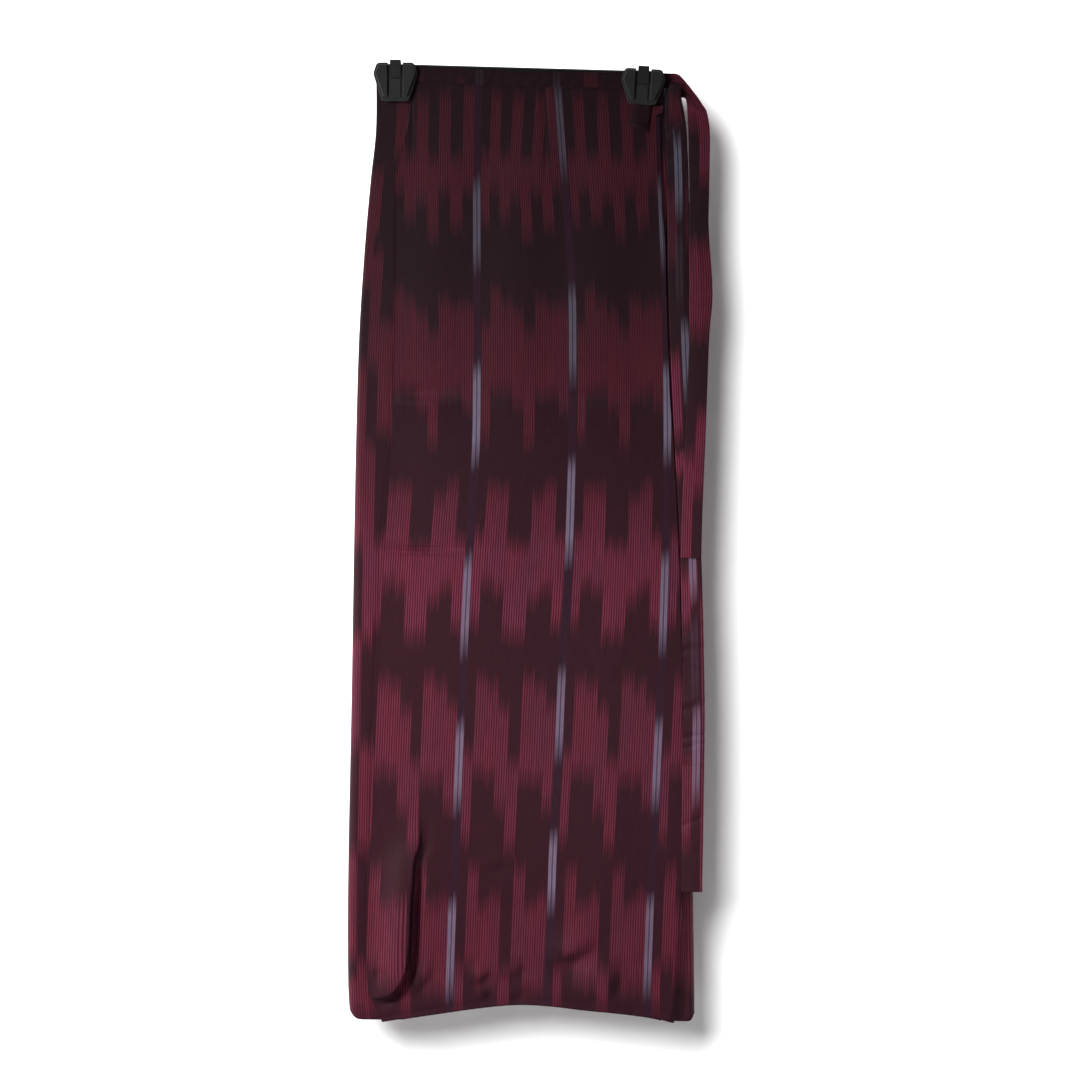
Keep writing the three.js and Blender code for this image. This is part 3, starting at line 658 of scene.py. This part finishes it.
# The overhanging fold near the hem: the line where it turns under on its right, and its lower lip.
VALLEY = table(
    "drop x",
    (0.6900, -0.0950),
    (0.7344, -0.0948),
    (0.7534, -0.1010),
    (0.7725, -0.1035),
    (0.7914, -0.1058),
    (0.8294, -0.1073),
    (0.8480, -0.1085),
    (0.8700, -0.1095),
)
LIP = table(
    "x drop",
    (-0.1500, 0.8812),
    (-0.1449, 0.8816),
    (-0.1335, 0.8825),
    (-0.1240, 0.8797),
    (-0.1145, 0.8711),
    (-0.1097, 0.8616),
)
OVERHANG = {
    "height": 0.0095,
    "soft": 0.006,  # how softly the valley and the lip meet at their corner
    "reach": -0.020,  # how far outside its edge it still moves the cloth
    "grows": (0.700, 0.800),  # the drops between which it grows
    "left": (-0.146, -0.112),  # where it grows from left_share across the panel
    "left_share": 0.3,
    "rise": (-0.0015, 0.0035),  # the distances inside its edge between which it stands up
    "fall": (0.0035, 0.040),  # and those between which it sinks to fall_share
    "fall_share": 0.35,
    "trough": (0.0042, 0.0058, 0.0054),  # the hollow beside it: depth, distance outside, and width
    "lip_share": 0.5,  # how much of the hollow is left below the lip
    "push": (0.0050, 0.0035, 0.0040),  # how far it leans out: most, distance inside, and width
}
# Storage creases across the panel: drop, height, width, and how much is left at the right side.
CREASES = ((0.4585, 0.0024, 0.0023, 0.30), (0.3150, 0.0022, 0.0070, 0.60))
CREASE_WAVES = ((0.0015, 0.021, 0), (0.004, 0.09, 1))  # how a crease wanders: height, length and phase
CREASE_FADES = (-0.12, -0.04)
CREASE_PATCHES = (0.75, 0.25, 0.013, 2.0)  # its uneven strength: mean, swing, length and phase
CREASE_RIDGE = 0.7  # how far below the crease its ridge lies, in widths
CREASE_GROOVE, GROOVE_WIDTH = 0.8, 1.3  # the groove above it, as shares of the ridge
DART_GROOVES = ((0.0233, 0.117, 0.0022, 0.0004), (-0.103, 0.095, 0.0020, 0.0003))  # x, tip, width, depth
DART_FADES = 0.7  # the share of its length from which a groove fades
# Soft folds above the hem: x, drop, half length, half width, height, and climb to the right in degrees.
PUCKERS = (
    (0.0489, 0.8427, 0.0190, 0.0066, 0.0040, 18),
    (-0.0366, 0.8645, 0.0070, 0.0038, 0.0022, 35),
    (-0.0337, 0.8797, 0.0050, 0.0034, 0.0014, 70),
    (-0.0033, 0.8579, 0.0060, 0.0042, 0.0016, 40),
    (-0.0014, 0.8778, 0.0060, 0.0038, 0.0012, 0),
    (0.0869, 0.8721, 0.0120, 0.0050, 0.0013, 80),
    (-0.0893, 0.8636, 0.0130, 0.0044, 0.0016, 62),
    (-0.1355, 0.8560, 0.0080, 0.0045, 0.0008, -10),
    (-0.0252, 0.7590, 0.0080, 0.0040, 0.0006, 10),
    (0.0660, 0.8845, 0.0060, 0.0030, 0.0006, 0),
    (-0.0780, 0.7950, 0.0150, 0.0050, 0.0007, 75),
    (0.1180, 0.8300, 0.0200, 0.0050, 0.0007, 80),
)
PUCKER_BOW = 0.15  # how much a pucker is bowed
PUCKER_RIDGE = 0.5  # how far above its line the ridge lies, in widths. The trough is one width below
PUCKER_SLOPE = 2.5  # how much gentler its outer slopes are than the one between ridge and trough
# The free edge's rim: how far it stands out, over what share of the width, and the drops where it ends.
FREE_EDGE_LIFT, FREE_EDGE_SHARE, FREE_EDGE_ENDS = 0.0004, 0.012, (0.85, 0.88)
HEM_TURN = {"above": 0.0045, "depth": 0.0005, "width": 0.0018}  # the groove where the hem is stitched
# Shallow unevenness of the cloth below the waist, and just above the hem.
WAIST_EASE = {"height": 0.00035, "width": 0.0125, "bend": 2.1, "length": 0.17}
WAIST_EASE_GROWS, WAIST_EASE_ENDS = (0.02, 0.12), (0.25, 0.42)
HEM_EASE = {"height": 0.00035, "width": 0.023, "slant": 0.041, "phase": 1.3, "length": 0.019, "lean": 0.060}
HEM_EASE_GROWS = (0.72, 0.80)
OVERLAP_DRAPE = {"height": 0.0016, "width": 0.034, "slant": 0.260, "phase": 1.2, "grows": (0.09, 0.52)}
OVERLAP_DRAPE_ENDS = (0.070, 0.112)
EDGE_TUCK = 0.6  # how far the right edge bends back by the hem, as a share of the gap behind it
EDGE_TUCKED = (0.77, 0.83)  # the drops between which it comes to bend back
EDGE_BEND = 0.0020  # the width of that bend
BESIDE_TIE = 0.0025  # how much further the right edge reaches along the middle of the long tie
BESIDE_GROWS, BESIDE_ENDS = (0.30, 0.38), (0.55, 0.74)
VALLEY_LEFT, VALLEY_RIGHT = 0.009, 0.013  # how far on each side of the valley the columns lie closer
OVERLAP_COLUMNS = (20, 26, 12, 24, 8, 30, 18)  # from each line that the columns follow to the next
OVERLAP_SETTLING = 4
# How the rows are shared out down the panel, as shares of its length: closer at the creases and hem.
ROWS_DOWN = table(
    "share row",
    (0.0, 0),
    (0.315, 68),
    (0.355, 90),
    (0.480, 116),
    (0.522, 148),
    (0.780, 204),
    (1.0, 329),
)

stripe_first = curve(STRIPE_LINES, "first")
stripe_second = curve(STRIPE_LINES, "second")
stripe_third = curve(STRIPE_LINES, "third")
valley_line = curve(VALLEY, "x")
lip_line = curve(LIP, "drop", "x")


def dart_place(drop):
    below = lerp(stripe_first(drop), stripe_second(drop), DART["woven"])
    tip = lerp(stripe_first(DART["tip"]), stripe_second(DART["tip"]), DART["woven"])
    return lerp(tip, below, soft_step(drop, DART["tip"] - DART_JOINS, DART["tip"] + DART_JOINS))


def overhang(x, drop):
    """How far the fold near the hem stands forward, and how far it is pushed right and down."""
    fold = OVERHANG
    past_right = math.exp((x - valley_line(drop)) / fold["soft"])
    past_lip = math.exp((drop - lip_line(x)) / fold["soft"])
    inside = -fold["soft"] * math.log(past_right + past_lip)
    if inside < fold["reach"]:
        return 0.0, 0.0, 0.0
    across = lerp(fold["left_share"], 1.0, soft_step(x, *fold["left"]))
    grown = soft_step(drop, *fold["grows"]) * across
    rise = soft_step(inside, *fold["rise"])
    fall = lerp(1.0, fold["fall_share"], soft_step(inside, *fold["fall"]))
    to_right = past_right / (past_right + past_lip)
    deepest, outside, width = fold["trough"]
    trough = deepest * bump(inside + outside, width) * lerp(fold["lip_share"], 1.0, to_right)
    most, further_in, width = fold["push"]
    push = grown * most * bump(inside - further_in, width)
    return grown * (fold["height"] * rise * fall - trough), push * to_right, push * (1 - to_right)


def overlap_relief(x, drop, u):
    """Creases, dart grooves, puckers and the slow waves of the hanging cloth, as a depth forward."""
    out = 0.0
    mean, swing, patch_length, phase = CREASE_PATCHES
    patchy = mean + swing * math.sin(x / patch_length + phase)
    for crease_drop, height, width, far in CREASES:
        wavy = drop - crease_drop
        for wave_height, wave_length, wave_phase in CREASE_WAVES:
            wavy -= wave_height * math.sin(x / wave_length + wave_phase)
        share = lerp(1.0, far, soft_step(x, *CREASE_FADES))
        ridge = bump(wavy - CREASE_RIDGE * width, width)
        groove = CREASE_GROOVE * bump(wavy + width, GROOVE_WIDTH * width)
        out += height * share * patchy * (ridge - groove)
    for dart_x, tip, width, deep in DART_GROOVES:
        out -= deep * bump(x - dart_x, width) * (1 - soft_step(drop, tip * DART_FADES, tip))
    for at_x, at_drop, length, width, height, climb in PUCKERS:
        turn = math.radians(climb)
        along = (x - at_x) * math.cos(turn) - (drop - at_drop) * math.sin(turn)
        below = (x - at_x) * math.sin(turn) + (drop - at_drop) * math.cos(turn)
        below += PUCKER_BOW * along * along / length
        ridge_above = PUCKER_RIDGE * width
        ridge = bump(below + ridge_above, width if below > -ridge_above else PUCKER_SLOPE * width)
        trough = bump(below - width, width if below < width else PUCKER_SLOPE * width)
        out += height * bump(along, length) * (ridge - trough)
    out += FREE_EDGE_LIFT * soft_step(u, FREE_EDGE_SHARE, 0.0) * (1 - soft_step(drop, *FREE_EDGE_ENDS))
    out -= HEM_TURN["depth"] * bump(front_hem(x) - drop - HEM_TURN["above"], HEM_TURN["width"])
    ease = WAIST_EASE
    waves = math.sin(x / ease["width"] + ease["bend"] * math.sin(drop / ease["length"]))
    waves *= soft_step(drop, *WAIST_EASE_GROWS)
    out += ease["height"] * waves * (1 - soft_step(drop, *WAIST_EASE_ENDS))
    ease = HEM_EASE
    waves = math.sin(x / ease["width"] + drop / ease["slant"] + ease["phase"])
    waves *= math.sin(drop / ease["length"] + x / ease["lean"])
    out += ease["height"] * waves * soft_step(drop, *HEM_EASE_GROWS)
    return out


def overlap_cloth():
    def valley_left(drop):
        return valley_line(drop) - VALLEY_LEFT

    def valley_right(drop):
        return valley_line(drop) + VALLEY_RIGHT

    def right_edge(drop):
        beside = soft_step(drop, *BESIDE_GROWS) * (1 - soft_step(drop, *BESIDE_ENDS))
        return front_right(drop) + BESIDE_TIE * beside

    starts = (free_edge, valley_left, valley_right, stripe_first, dart_place, stripe_second, stripe_third)
    stretches = [
        flat_run(start, end, lambda drop: 0.0, columns)
        for start, end, columns in zip(starts, (*starts[1:], right_edge), OVERLAP_COLUMNS)
    ]
    columns, path = joined(stretches)
    at_dart = sum(OVERLAP_COLUMNS[: starts.index(dart_place)]) / columns

    def woven_across(x, drop, left_of_dart):
        first, second, third = stripe_first(drop), stripe_second(drop), stripe_third(drop)
        closing = soft_step(drop, DART["top"] - DART_OPEN, DART["tip"])
        seam = lerp(DART["left"] if left_of_dart else DART["right"], DART["woven"], closing)
        seam_x = dart_place(drop)
        if x < first:
            return (x - first) / STRIPE_APART
        if left_of_dart:
            return seam * (x - first) / (seam_x - first)
        if x < second:
            return 1 - (1 - seam) * (second - x) / (second - seam_x)
        if x < third:
            return 1 + (x - second) / (third - second)
        return 2 + (x - third) / STRIPE_APART

    rows = ROWS_DOWN["row"][-1]
    down_at = curve(ROWS_DOWN, "share", "row")

    def top(x):
        return band_top(x) + BAND_HEIGHT - TUCKED

    def lay(u, v):
        down = down_at(v * rows)
        drop = lerp(BAND_HEIGHT, HEM["drop"][0], down)
        for _ in range(OVERLAP_SETTLING):
            x, _flat = path(u, drop)
            drop = lerp(top(x), front_hem(x), down)
        forward, right, down_by = overhang(x, drop)
        gap = under_depth(drop) - depth("overlap", drop)
        tucked = EDGE_TUCK * soft_step(drop, *EDGE_TUCKED) * gap
        tucked *= soft_step(x, front_right(drop) - EDGE_BEND, front_right(drop))
        sway = drape(OVERLAP_DRAPE, x, drop) * (1 - soft_step(x, *OVERLAP_DRAPE_ENDS))
        y = depth("overlap", drop) + tucked - sway - forward - overlap_relief(x, drop, u)

        def woven(middle):
            return woven_across(x, drop, middle < at_dart) * STRIPE_REPEAT, drop

        return Vector((x + right, y, -drop - down_by)), woven

    return cloth_piece("overlap_cloth", columns, rows, lay)


overlap_cloth_piece = overlap_cloth()
overlap_satin = ikat_satin("ikat_satin_overlap", IKAT_REDS, STRIPE_REPEAT, IKAT_STRIPES, baths=BATHS)
overlap_cloth_piece.data.materials.append(overlap_satin)
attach(overlap_cloth_piece, "root")
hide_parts("overlap_panel")

# ---------------------------------------------------------------- waistband
# One folded strip of the same satin, sewn to the top edges of all three panels. It runs from the
# overlap's free edge round the right fold, along the back, round the left fold and back inside.

BAND_CLOTH = 0.0013
BAND_ROWS = 14
BAND_STEPS_DOWN = 0.001  # how far behind the front the band begins to lie lower
BAND_PUFF = 0.0002  # how far the folded strip bellies out
BAND_RIPPLE = {"height": 0.00018, "length": 0.0023, "slant": 5}  # small puckers towards its seam
BAND_REDS = (
    (-0.0974, -0.0917, (0.0125, 0.040, 0.25)),
    (-0.0612, -0.0546, (0.0150, 0.040, 0.25)),
    (0.0603, 0.0736, (-0.020, 0.030, 0.28)),
)
BAND_STRIPES = ((-0.0390, ((-0.040, 0.060, 0.09),)), (0.0342, ((0.000, 0.060, 0.13),)))
band_satin = ikat_satin("ikat_satin_band", BAND_REDS, stripe_lines=BAND_STRIPES)


def band_cloth():
    front, inside, back = (LAYER_DEPTH[layer][0] for layer in ("overlap", "under", "back"))
    left_fold = left_outside(BAND_HEIGHT) + CLOTH_SPACE / 2
    right_fold = right_outside(BAND_HEIGHT) - CLOTH_SPACE / 2
    outer_radius, inner_radius = (back - front) / 2, (back - inside) / 2

    def still(value):
        return lambda drop: value

    back_from, back_to = still(right_fold - outer_radius), still(left_fold + inner_radius)
    inner_end = still(front_right(BAND_HEIGHT) - BAND_END_SHORT)
    stretches = [
        flat_run(still(free_edge(BAND_HEIGHT)), back_from, still(front), columns=120),
        fold_turn(RIGHT, still(front), still(back), start=-90, end=90, columns=10),
        flat_run(back_from, back_to, still(back), columns=100),
        fold_turn(LEFT, still(inside), still(back), start=90, end=270, columns=10),
        flat_run(back_to, inner_end, still(inside), columns=90),
    ]
    columns, path = joined(stretches)

    def lay(u, v):
        x, y = path(u, BAND_HEIGHT)
        lower = INSIDE_LOWER * soft_step(y, front + BAND_STEPS_DOWN, inside)
        drop = band_top(x) + lower + v * BAND_HEIGHT
        ripple = BAND_RIPPLE["height"] * math.sin(x / BAND_RIPPLE["length"] + BAND_RIPPLE["slant"] * v) * v
        puff = BAND_PUFF * math.sin(math.pi * v) + ripple
        across = x if u < 0.5 else 2 * right_fold - x
        return Vector((x, y - puff if y < 0 else y + puff, -drop)), lambda middle: (across, drop)

    return cloth_piece("waistband_cloth", columns, BAND_ROWS, lay, BAND_CLOTH)


band_piece = band_cloth()
band_piece.data.materials.append(band_satin)
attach(band_piece, "root")
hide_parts("waistband")

# ---------------------------------------------------------------- ties
# Two flat ties of the same satin, each a strip folded along its length and sewn shut. The short one
# carries on from the band's end at the right fold, and the long one is gathered in at the side seam.

TIE_CLOTH = 0.0014
TIE_WIDTH = 0.0205
TIE_CROWN = 0.00035  # how far the middle of a tie stands out
TIE_COLUMNS = 14
TIE_SHORT = table(
    "inner_x inner_drop outer_x outer_drop depth",
    (0.1419, 0.0285, 0.1402, 0.0062, -0.0014),
    (0.1475, 0.0290, 0.1496, 0.0072, -0.0022),
    (0.1530, 0.0291, 0.1575, 0.0150, -0.0030),
    (0.1563, 0.0300, 0.1654, 0.0252, -0.0042),
    (0.1577, 0.0355, 0.1722, 0.0354, -0.0054),
    (0.1583, 0.0450, 0.1772, 0.0448, -0.0064),
    (0.1592, 0.0680, 0.1798, 0.0670, -0.0074),
    (0.1601, 0.1170, 0.1790, 0.1170, -0.0086),
    (0.1596, 0.1550, 0.1786, 0.1550, -0.0094),
    (0.1602, 0.2030, 0.1818, 0.2030, -0.0106),
    (0.1600, 0.2260, 0.1818, 0.2260, -0.0109),
    (0.1600, 0.2620, 0.1788, 0.2620, -0.0109),
    (0.1564, 0.3500, 0.1756, 0.3500, -0.0116),
    (0.1532, 0.4200, 0.1726, 0.4200, -0.0126),
    (0.1520, 0.4665, 0.1714, 0.4665, -0.0132),
)
TIE_LONG = table(
    "inner_x inner_drop outer_x outer_drop depth",
    (0.1416, 0.0160, 0.1516, 0.0150, -0.0066),
    (0.1384, 0.0300, 0.1528, 0.0300, -0.0069),
    (0.1368, 0.0500, 0.1564, 0.0500, -0.0067),
    (0.1380, 0.0700, 0.1582, 0.0700, -0.0068),
    (0.1394, 0.1150, 0.1598, 0.1150, -0.0067),
    (0.1404, 0.2200, 0.1610, 0.2200, -0.0077),
    (0.1456, 0.3450, 0.1660, 0.3450, -0.0092),
    (0.1516, 0.4680, 0.1716, 0.4680, -0.0110),
    (0.1538, 0.6000, 0.1746, 0.6000, -0.0131),
    (0.1530, 0.7000, 0.1736, 0.7000, -0.0143),
    (0.1524, 0.7830, 0.1722, 0.7830, -0.0144),
)
# Wrinkles across a tie: drop, height, width and lean.
SHORT_WRINKLES = (
    (0.024, -0.0020, 0.005, 0.0),
    (0.040, 0.0006, 0.004, -0.6),
    (0.060, 0.0004, 0.006, 0.5),
    (0.120, 0.0005, 0.004, -0.4),
    (0.2155, 0.0007, 0.003, 0.25),
    (0.300, 0.0003, 0.006, -0.3),
    (0.370, 0.0004, 0.004, 0.4),
)
LONG_WRINKLES = (
    (0.062, 0.0008, 0.004, 0.9),
    (0.082, -0.0010, 0.006, 0.8),
    (0.368, 0.0006, 0.003, 0.3),
    (0.378, -0.0006, 0.003, -0.3),
    (0.533, -0.0010, 0.0030, 0.2),
    (0.545, 0.0014, 0.0032, 0.3),
    (0.553, -0.0016, 0.0028, 0.1),
    (0.566, -0.0018, 0.0032, -0.3),
    (0.600, 0.0010, 0.0030, 0.4),
    (0.608, -0.0018, 0.0026, 0.2),
    (0.6350, -0.0020, 0.0022, 0.2),
    (0.6440, -0.0013, 0.0020, 0.3),
    (0.6640, -0.0014, 0.0022, -0.2),
    (0.690, -0.0012, 0.0028, -0.4),
    (0.716, -0.0012, 0.0030, 0.4),
)
# In the short tie's inner half the red begins only below the hollow at its root. That hollow, which also
# sinks back, is painted dark there as painted shade.
SHORT_REDS = (
    (0.0000, 0.0100, (0.030, 0.056, 0.8), (0.169, 0.255, 0.75), (0.371, 0.480, 0.9)),
    (0.0100, 0.0215, (-0.02, 0.108, 0.85), (0.169, 0.255, 0.7), (0.330, 0.405, 0.9)),
)
LONG_REDS = (
    (
        0.0000, 0.0090, (0.122, 0.188, 0.35), (0.276, 0.354), (0.373, 0.383), (0.483, 0.530),
        (0.658, 0.739, 0.75),
    ),
    (0.0040, 0.0170, (0.033, 0.048, 0.5)),
    (0.0090, 0.0165, (0.470, 0.505, 0.6), (0.611, 0.701, 0.7)),
    (0.0165, 0.0215, (0.110, 0.170, 0.35)),
    (0.0180, 0.0215, (0.506, 0.800, 0.85)),
)
LONG_STRIPES = (
    (0.0107, ((0.060, 0.150, 0.70), (0.150, 0.240, 0.10))),
    (0.0143, ((0.236, 0.325, 0.75),)),
    (0.0116, ((0.440, 0.516, 0.75), (0.512, 0.610, 0.10))),
    (0.0128, ((0.602, 0.706, 0.62),)),
)


def tie(name, stations, rows, wrinkles):
    stations = dict(stations, station=range(len(stations["depth"])))
    last = stations["station"][-1]
    inner_x, inner_drop = (curve(stations, value, "station") for value in ("inner_x", "inner_drop"))
    outer_x, outer_drop = (curve(stations, value, "station") for value in ("outer_x", "outer_drop"))
    lies = curve(stations, "depth", "station")

    def lay(u, v):
        station = v * last
        x = lerp(inner_x(station), outer_x(station), u)
        drop = lerp(inner_drop(station), outer_drop(station), u)
        out = TIE_CROWN * math.sin(math.pi * u)
        for at, height, width, lean in wrinkles:
            out += height * bump(drop - at + lean * (u - 0.5) * TIE_WIDTH, width)
        return Vector((x, lies(station) - out, -drop)), lambda middle: (u * TIE_WIDTH, drop)

    return cloth_piece(name, TIE_COLUMNS, rows, lay, TIE_CLOTH)


tie_kinds = (
    ("tie_short", TIE_SHORT, 300, SHORT_WRINKLES, SHORT_REDS, (), 0.467),
    ("tie_long", TIE_LONG, 520, LONG_WRINKLES, LONG_REDS, LONG_STRIPES, 0.768),
)
tie_pieces = []
for tie_node, stations, rows, wrinkles, reds, tie_stripes, length in tie_kinds:
    tie_piece = tie(tie_node + "_cloth", stations, rows, wrinkles)
    tie_piece.data.materials.append(ikat_satin("ikat_satin_" + tie_node, reds, stripe_lines=tie_stripes))
    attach(tie_piece, "root")
    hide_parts(tie_node)
    tie_pieces.append(tie_piece)

# ---------------------------------------------------------------- hanger bar and clips
# A straight moulded bar carries two sliding clips. Each clip has a ribbed front jaw and a back jaw of
# satin black plastic, pressed together by a spring strap that runs over the bar.

OBJECT_COORDINATES = 3  # the output of a Texture Coordinate node
GRAIN, GRAIN_SHADE = 4500.0, (0.8, 1.2)
GRAIN_RELIEF = (0.2, 0.00005)
PLASTIC_SPECULAR = 0.25
MOULDED_ROUND, MOULDED_SEGMENTS, MOULDED_TURN = 0.0006, 3, 40  # a moulded edge, as rounded() takes it


def moulded(name, colour, roughness):
    """Injection-moulded plastic with a faint spark-eroded grain."""
    material, tree, surface = new_material(name)
    coordinates = node(tree, "TexCoord", out=OBJECT_COORDINATES)
    grain = node(tree, "TexNoise", coordinates, None, GRAIN, 3.0)
    shade = node(tree, "MapRange", grain, 0.0, 1.0, *GRAIN_SHADE)
    tree.links.new(shaded(tree, colour, shade), surface.inputs["Base Color"])
    raised(tree, surface, grain, *GRAIN_RELIEF)
    set_gloss(surface, roughness, PLASTIC_SPECULAR)
    return material


bar_plastic = moulded("bar_plastic", (0.010, 0.010, 0.0105), 0.50)
clip_plastic = moulded("clip_plastic", (0.025, 0.025, 0.0265), 0.55)
strap_plastic = moulded("strap_plastic", (0.020, 0.020, 0.021), 0.55)
finishes = {"hanger_bar": bar_plastic}
for side in ("left", "right"):
    finishes[f"clip_{side}_front"] = clip_plastic
    finishes[f"clip_{side}_back"] = clip_plastic
    finishes[f"clip_{side}_spring"] = strap_plastic
for name, finish in finishes.items():
    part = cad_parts[name]
    part.data.materials.clear()
    part.data.materials.append(finish)
    rounded(part, "Moulded edges", MOULDED_ROUND, MOULDED_SEGMENTS, MOULDED_TURN)

# ---------------------------------------------------------------- tie tail under the right clip
# The square end of the tie that the right clip also grips hangs just below the jaw, with a small
# turned-back fold of it beside it.

TAIL_CORNERS = (((0.1069, 0.0235), (0.1254, 0.0250)), ((0.1031, 0.0567), (0.1202, 0.0624)))
FOLD_CORNERS = (((0.1260, 0.0386), (0.1356, 0.0368)), ((0.1266, 0.0472), (0.1354, 0.0436)))
BOW_FROM = 0.4  # how far down a tie end begins to bow
END_SEAM = {"height": 0.0004, "at": 0.9, "width": 0.05}  # the stitched end of the tie
PATCH_COLUMNS, PATCH_ROWS = 20, 30
TAIL_REDS = ((0.0000, 0.0060, (0.0, 0.030)),)
FOLD_REDS = ((0.0000, 0.0120, (0.030, 0.060, 0.45)),)


def patch(name, corners, lies, bow):
    (top_left, top_right), (bottom_left, bottom_right) = (
        [Vector((x, lies, -drop)) for x, drop in pair] for pair in corners
    )

    def lay(u, v):
        place = top_left.lerp(top_right, u).lerp(bottom_left.lerp(bottom_right, u), v)
        place.y -= bow * math.sin(math.pi * u) * soft_step(v, BOW_FROM, 1)
        place.y -= END_SEAM["height"] * bump(v - END_SEAM["at"], END_SEAM["width"])
        return place, lambda middle: (u * (top_right - top_left).length, -place.z)

    return cloth_piece(name, PATCH_COLUMNS, PATCH_ROWS, lay)


patch_kinds = (
    ("tie_tail", TAIL_CORNERS, -0.00615, 0.0012, TAIL_REDS),
    ("tail_fold", FOLD_CORNERS, -0.0062, 0.0006, FOLD_REDS),
)
for patch_node, corners, lies, bow, reds in patch_kinds:
    patch_piece = patch(patch_node + "_cloth", corners, lies, bow)
    patch_piece.data.materials.append(ikat_satin("ikat_satin_" + patch_node, reds))
    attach(patch_piece, "root")
    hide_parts(patch_node)

# ---------------------------------------------------------------- studio
# A white backdrop close behind the skirt and a pale floor below it, each with soft lights of its own.
# The skirt is lit from the left front, the ties and the side strip also from the right, and all of it
# from behind.

CAMERA_DISTANCE = 6.0
VIEW_WIDTH = 1.026
SENSOR = 36.0
VIEW_CENTRE = Vector((0.0185, 0.0, -0.4494))
BACKDROP_BEHIND, BACKDROP_SIZE = 0.036, 3.0
FLOOR_DROP, FLOOR_SIZE, FLOOR_MIDDLE = 1.35, 6.0, 1.5
PALE = (0.86, 0.86, 0.86, 1)
PALE_GLOSS = (0.9, 0.1)
BACKFACING = 6  # the output of a Geometry node
SKY = 0.05  # the strength of the even light from all round

scene = bpy.context.scene
scene.view_settings.view_transform = "Standard"

camera_data = bpy.data.cameras.new("camera")
camera_data.sensor_width = SENSOR
camera_data.lens = SENSOR * CAMERA_DISTANCE / VIEW_WIDTH
camera = bpy.data.objects.new("camera", camera_data)
scene.collection.objects.link(camera)
camera.location = VIEW_CENTRE - Vector((0, CAMERA_DISTANCE, 0))
camera.rotation_euler = (math.radians(90), 0, 0)
scene.camera = camera


def pale_plane(name, size, turn, place, one_sided=False):
    mesh = bmesh.new()
    bmesh.ops.create_grid(mesh, x_segments=1, y_segments=1, size=size / 2)
    plane = mesh_object(name, mesh)
    plane.rotation_euler = (turn, 0, 0)
    plane.location = place
    material, tree, surface = new_material(name)
    surface.inputs["Base Color"].default_value = PALE
    set_gloss(surface, *PALE_GLOSS)
    if one_sided:
        behind = node(tree, "NewGeometry", out=BACKFACING)
        clear = node(tree, "BsdfTransparent")
        shown = node(tree, "MixShader", behind, surface.outputs[0], clear)
        tree.links.new(shown, tree.nodes["Material Output"].inputs["Surface"])
    plane.data.materials.append(material)
    return plane


wall_place = Vector((VIEW_CENTRE.x, cad_box[1][1] + BACKDROP_BEHIND, VIEW_CENTRE.z))
backdrop = pale_plane("backdrop", BACKDROP_SIZE, math.radians(90), wall_place, one_sided=True)
floor = pale_plane("floor", FLOOR_SIZE, 0.0, Vector((0, FLOOR_MIDDLE, -FLOOR_DROP)))


def soft_light(name, place, target, size, power, spread):
    data = bpy.data.lights.new(name, "AREA")
    data.shape = "DISK"
    data.size = size
    data.energy = power
    data.spread = math.radians(spread)
    light = bpy.data.objects.new(name, data)
    light.location = place
    light.rotation_euler = (Vector(target) - Vector(place)).to_track_quat("-Z", "Y").to_euler()
    scene.collection.objects.link(light)
    return light


def lit_only(light, name, objects, state):
    """Keeps a light to these objects, or, where state is EXCLUDE, to all but them."""
    receivers = bpy.data.collections.new(name)
    for i, thing in enumerate(objects):
        receivers.objects.link(thing)
        receivers.collection_objects[i].light_linking.link_state = state
    light.light_linking.receiver_collection = receivers


stage = (backdrop, floor)
# Each light's name, place, target, size, power and spread, and the objects that it lights or leaves out.
light_kinds = (
    ("backdrop_wash", (-1.25, -2.27, 0.66), (0.0185, 0.05, -0.45), 2.2, 235.0, 180, "INCLUDE", [backdrop]),
    ("wall_fill", (0.0, -3.0, -0.45), (0.0, 0.0, -0.45), 1.5, 10.0, 180, "INCLUDE", [backdrop]),
    ("floor_wash", (-1.0, -1.0, 1.5), (0.0, 1.0, -FLOOR_DROP), 1.5, 40.0, 180, "INCLUDE", [floor]),
    ("key", (-1.15, -1.05, 0.20), (0.0, 0.0, -1.00), 0.45, 8.6, 80, "EXCLUDE", stage),
    ("low_fill", (0.10, -0.45, -0.62), (0.03, 0.0, -0.62), 0.3, 0.40, 180, "EXCLUDE", stage),
    ("fill", (-0.9, -2.2, -0.2), (0.0, 0.0, -0.35), 1.6, 0.5, 180, "EXCLUDE", stage),
    ("side_left", (-1.3, -0.38, -0.50), (-0.15, 0.0, -0.55), 0.8, 5.0, 180, "EXCLUDE", stage),
    ("tie_light", (1.3, -0.38, -0.45), (0.17, 0.0, -0.45), 0.8, 5.5, 180, "INCLUDE", tie_pieces),
    ("strip_light", (0.75, -1.5, -0.75), (0.17, 0.0, -0.75), 0.5, 5.0, 180, "INCLUDE", [back_cloth_piece]),
    ("back_light", (0.9, 2.0, 0.2), (0.0, 0.0, -0.45), 1.2, 40.0, 180, "EXCLUDE", stage),
)
lights = {}
for name, place, target, size, power, spread, state, objects in light_kinds:
    lights[name] = soft_light(name, place, target, size, power, spread)
    lit_only(lights[name], name + "_lit", objects, state)
lights["wall_fill"].data.use_shadow = False
# What the back light leaves unlit doesn't shade it either, so it shines through the backdrop.
back_linking = lights["back_light"].light_linking
back_linking.blocker_collection = back_linking.receiver_collection

world = bpy.data.worlds.new("studio")
world.use_nodes = True
background = world.node_tree.nodes["Background"]
background.inputs["Color"].default_value = (1, 1, 1, 1)
background.inputs["Strength"].default_value = SKY
scene.world = world
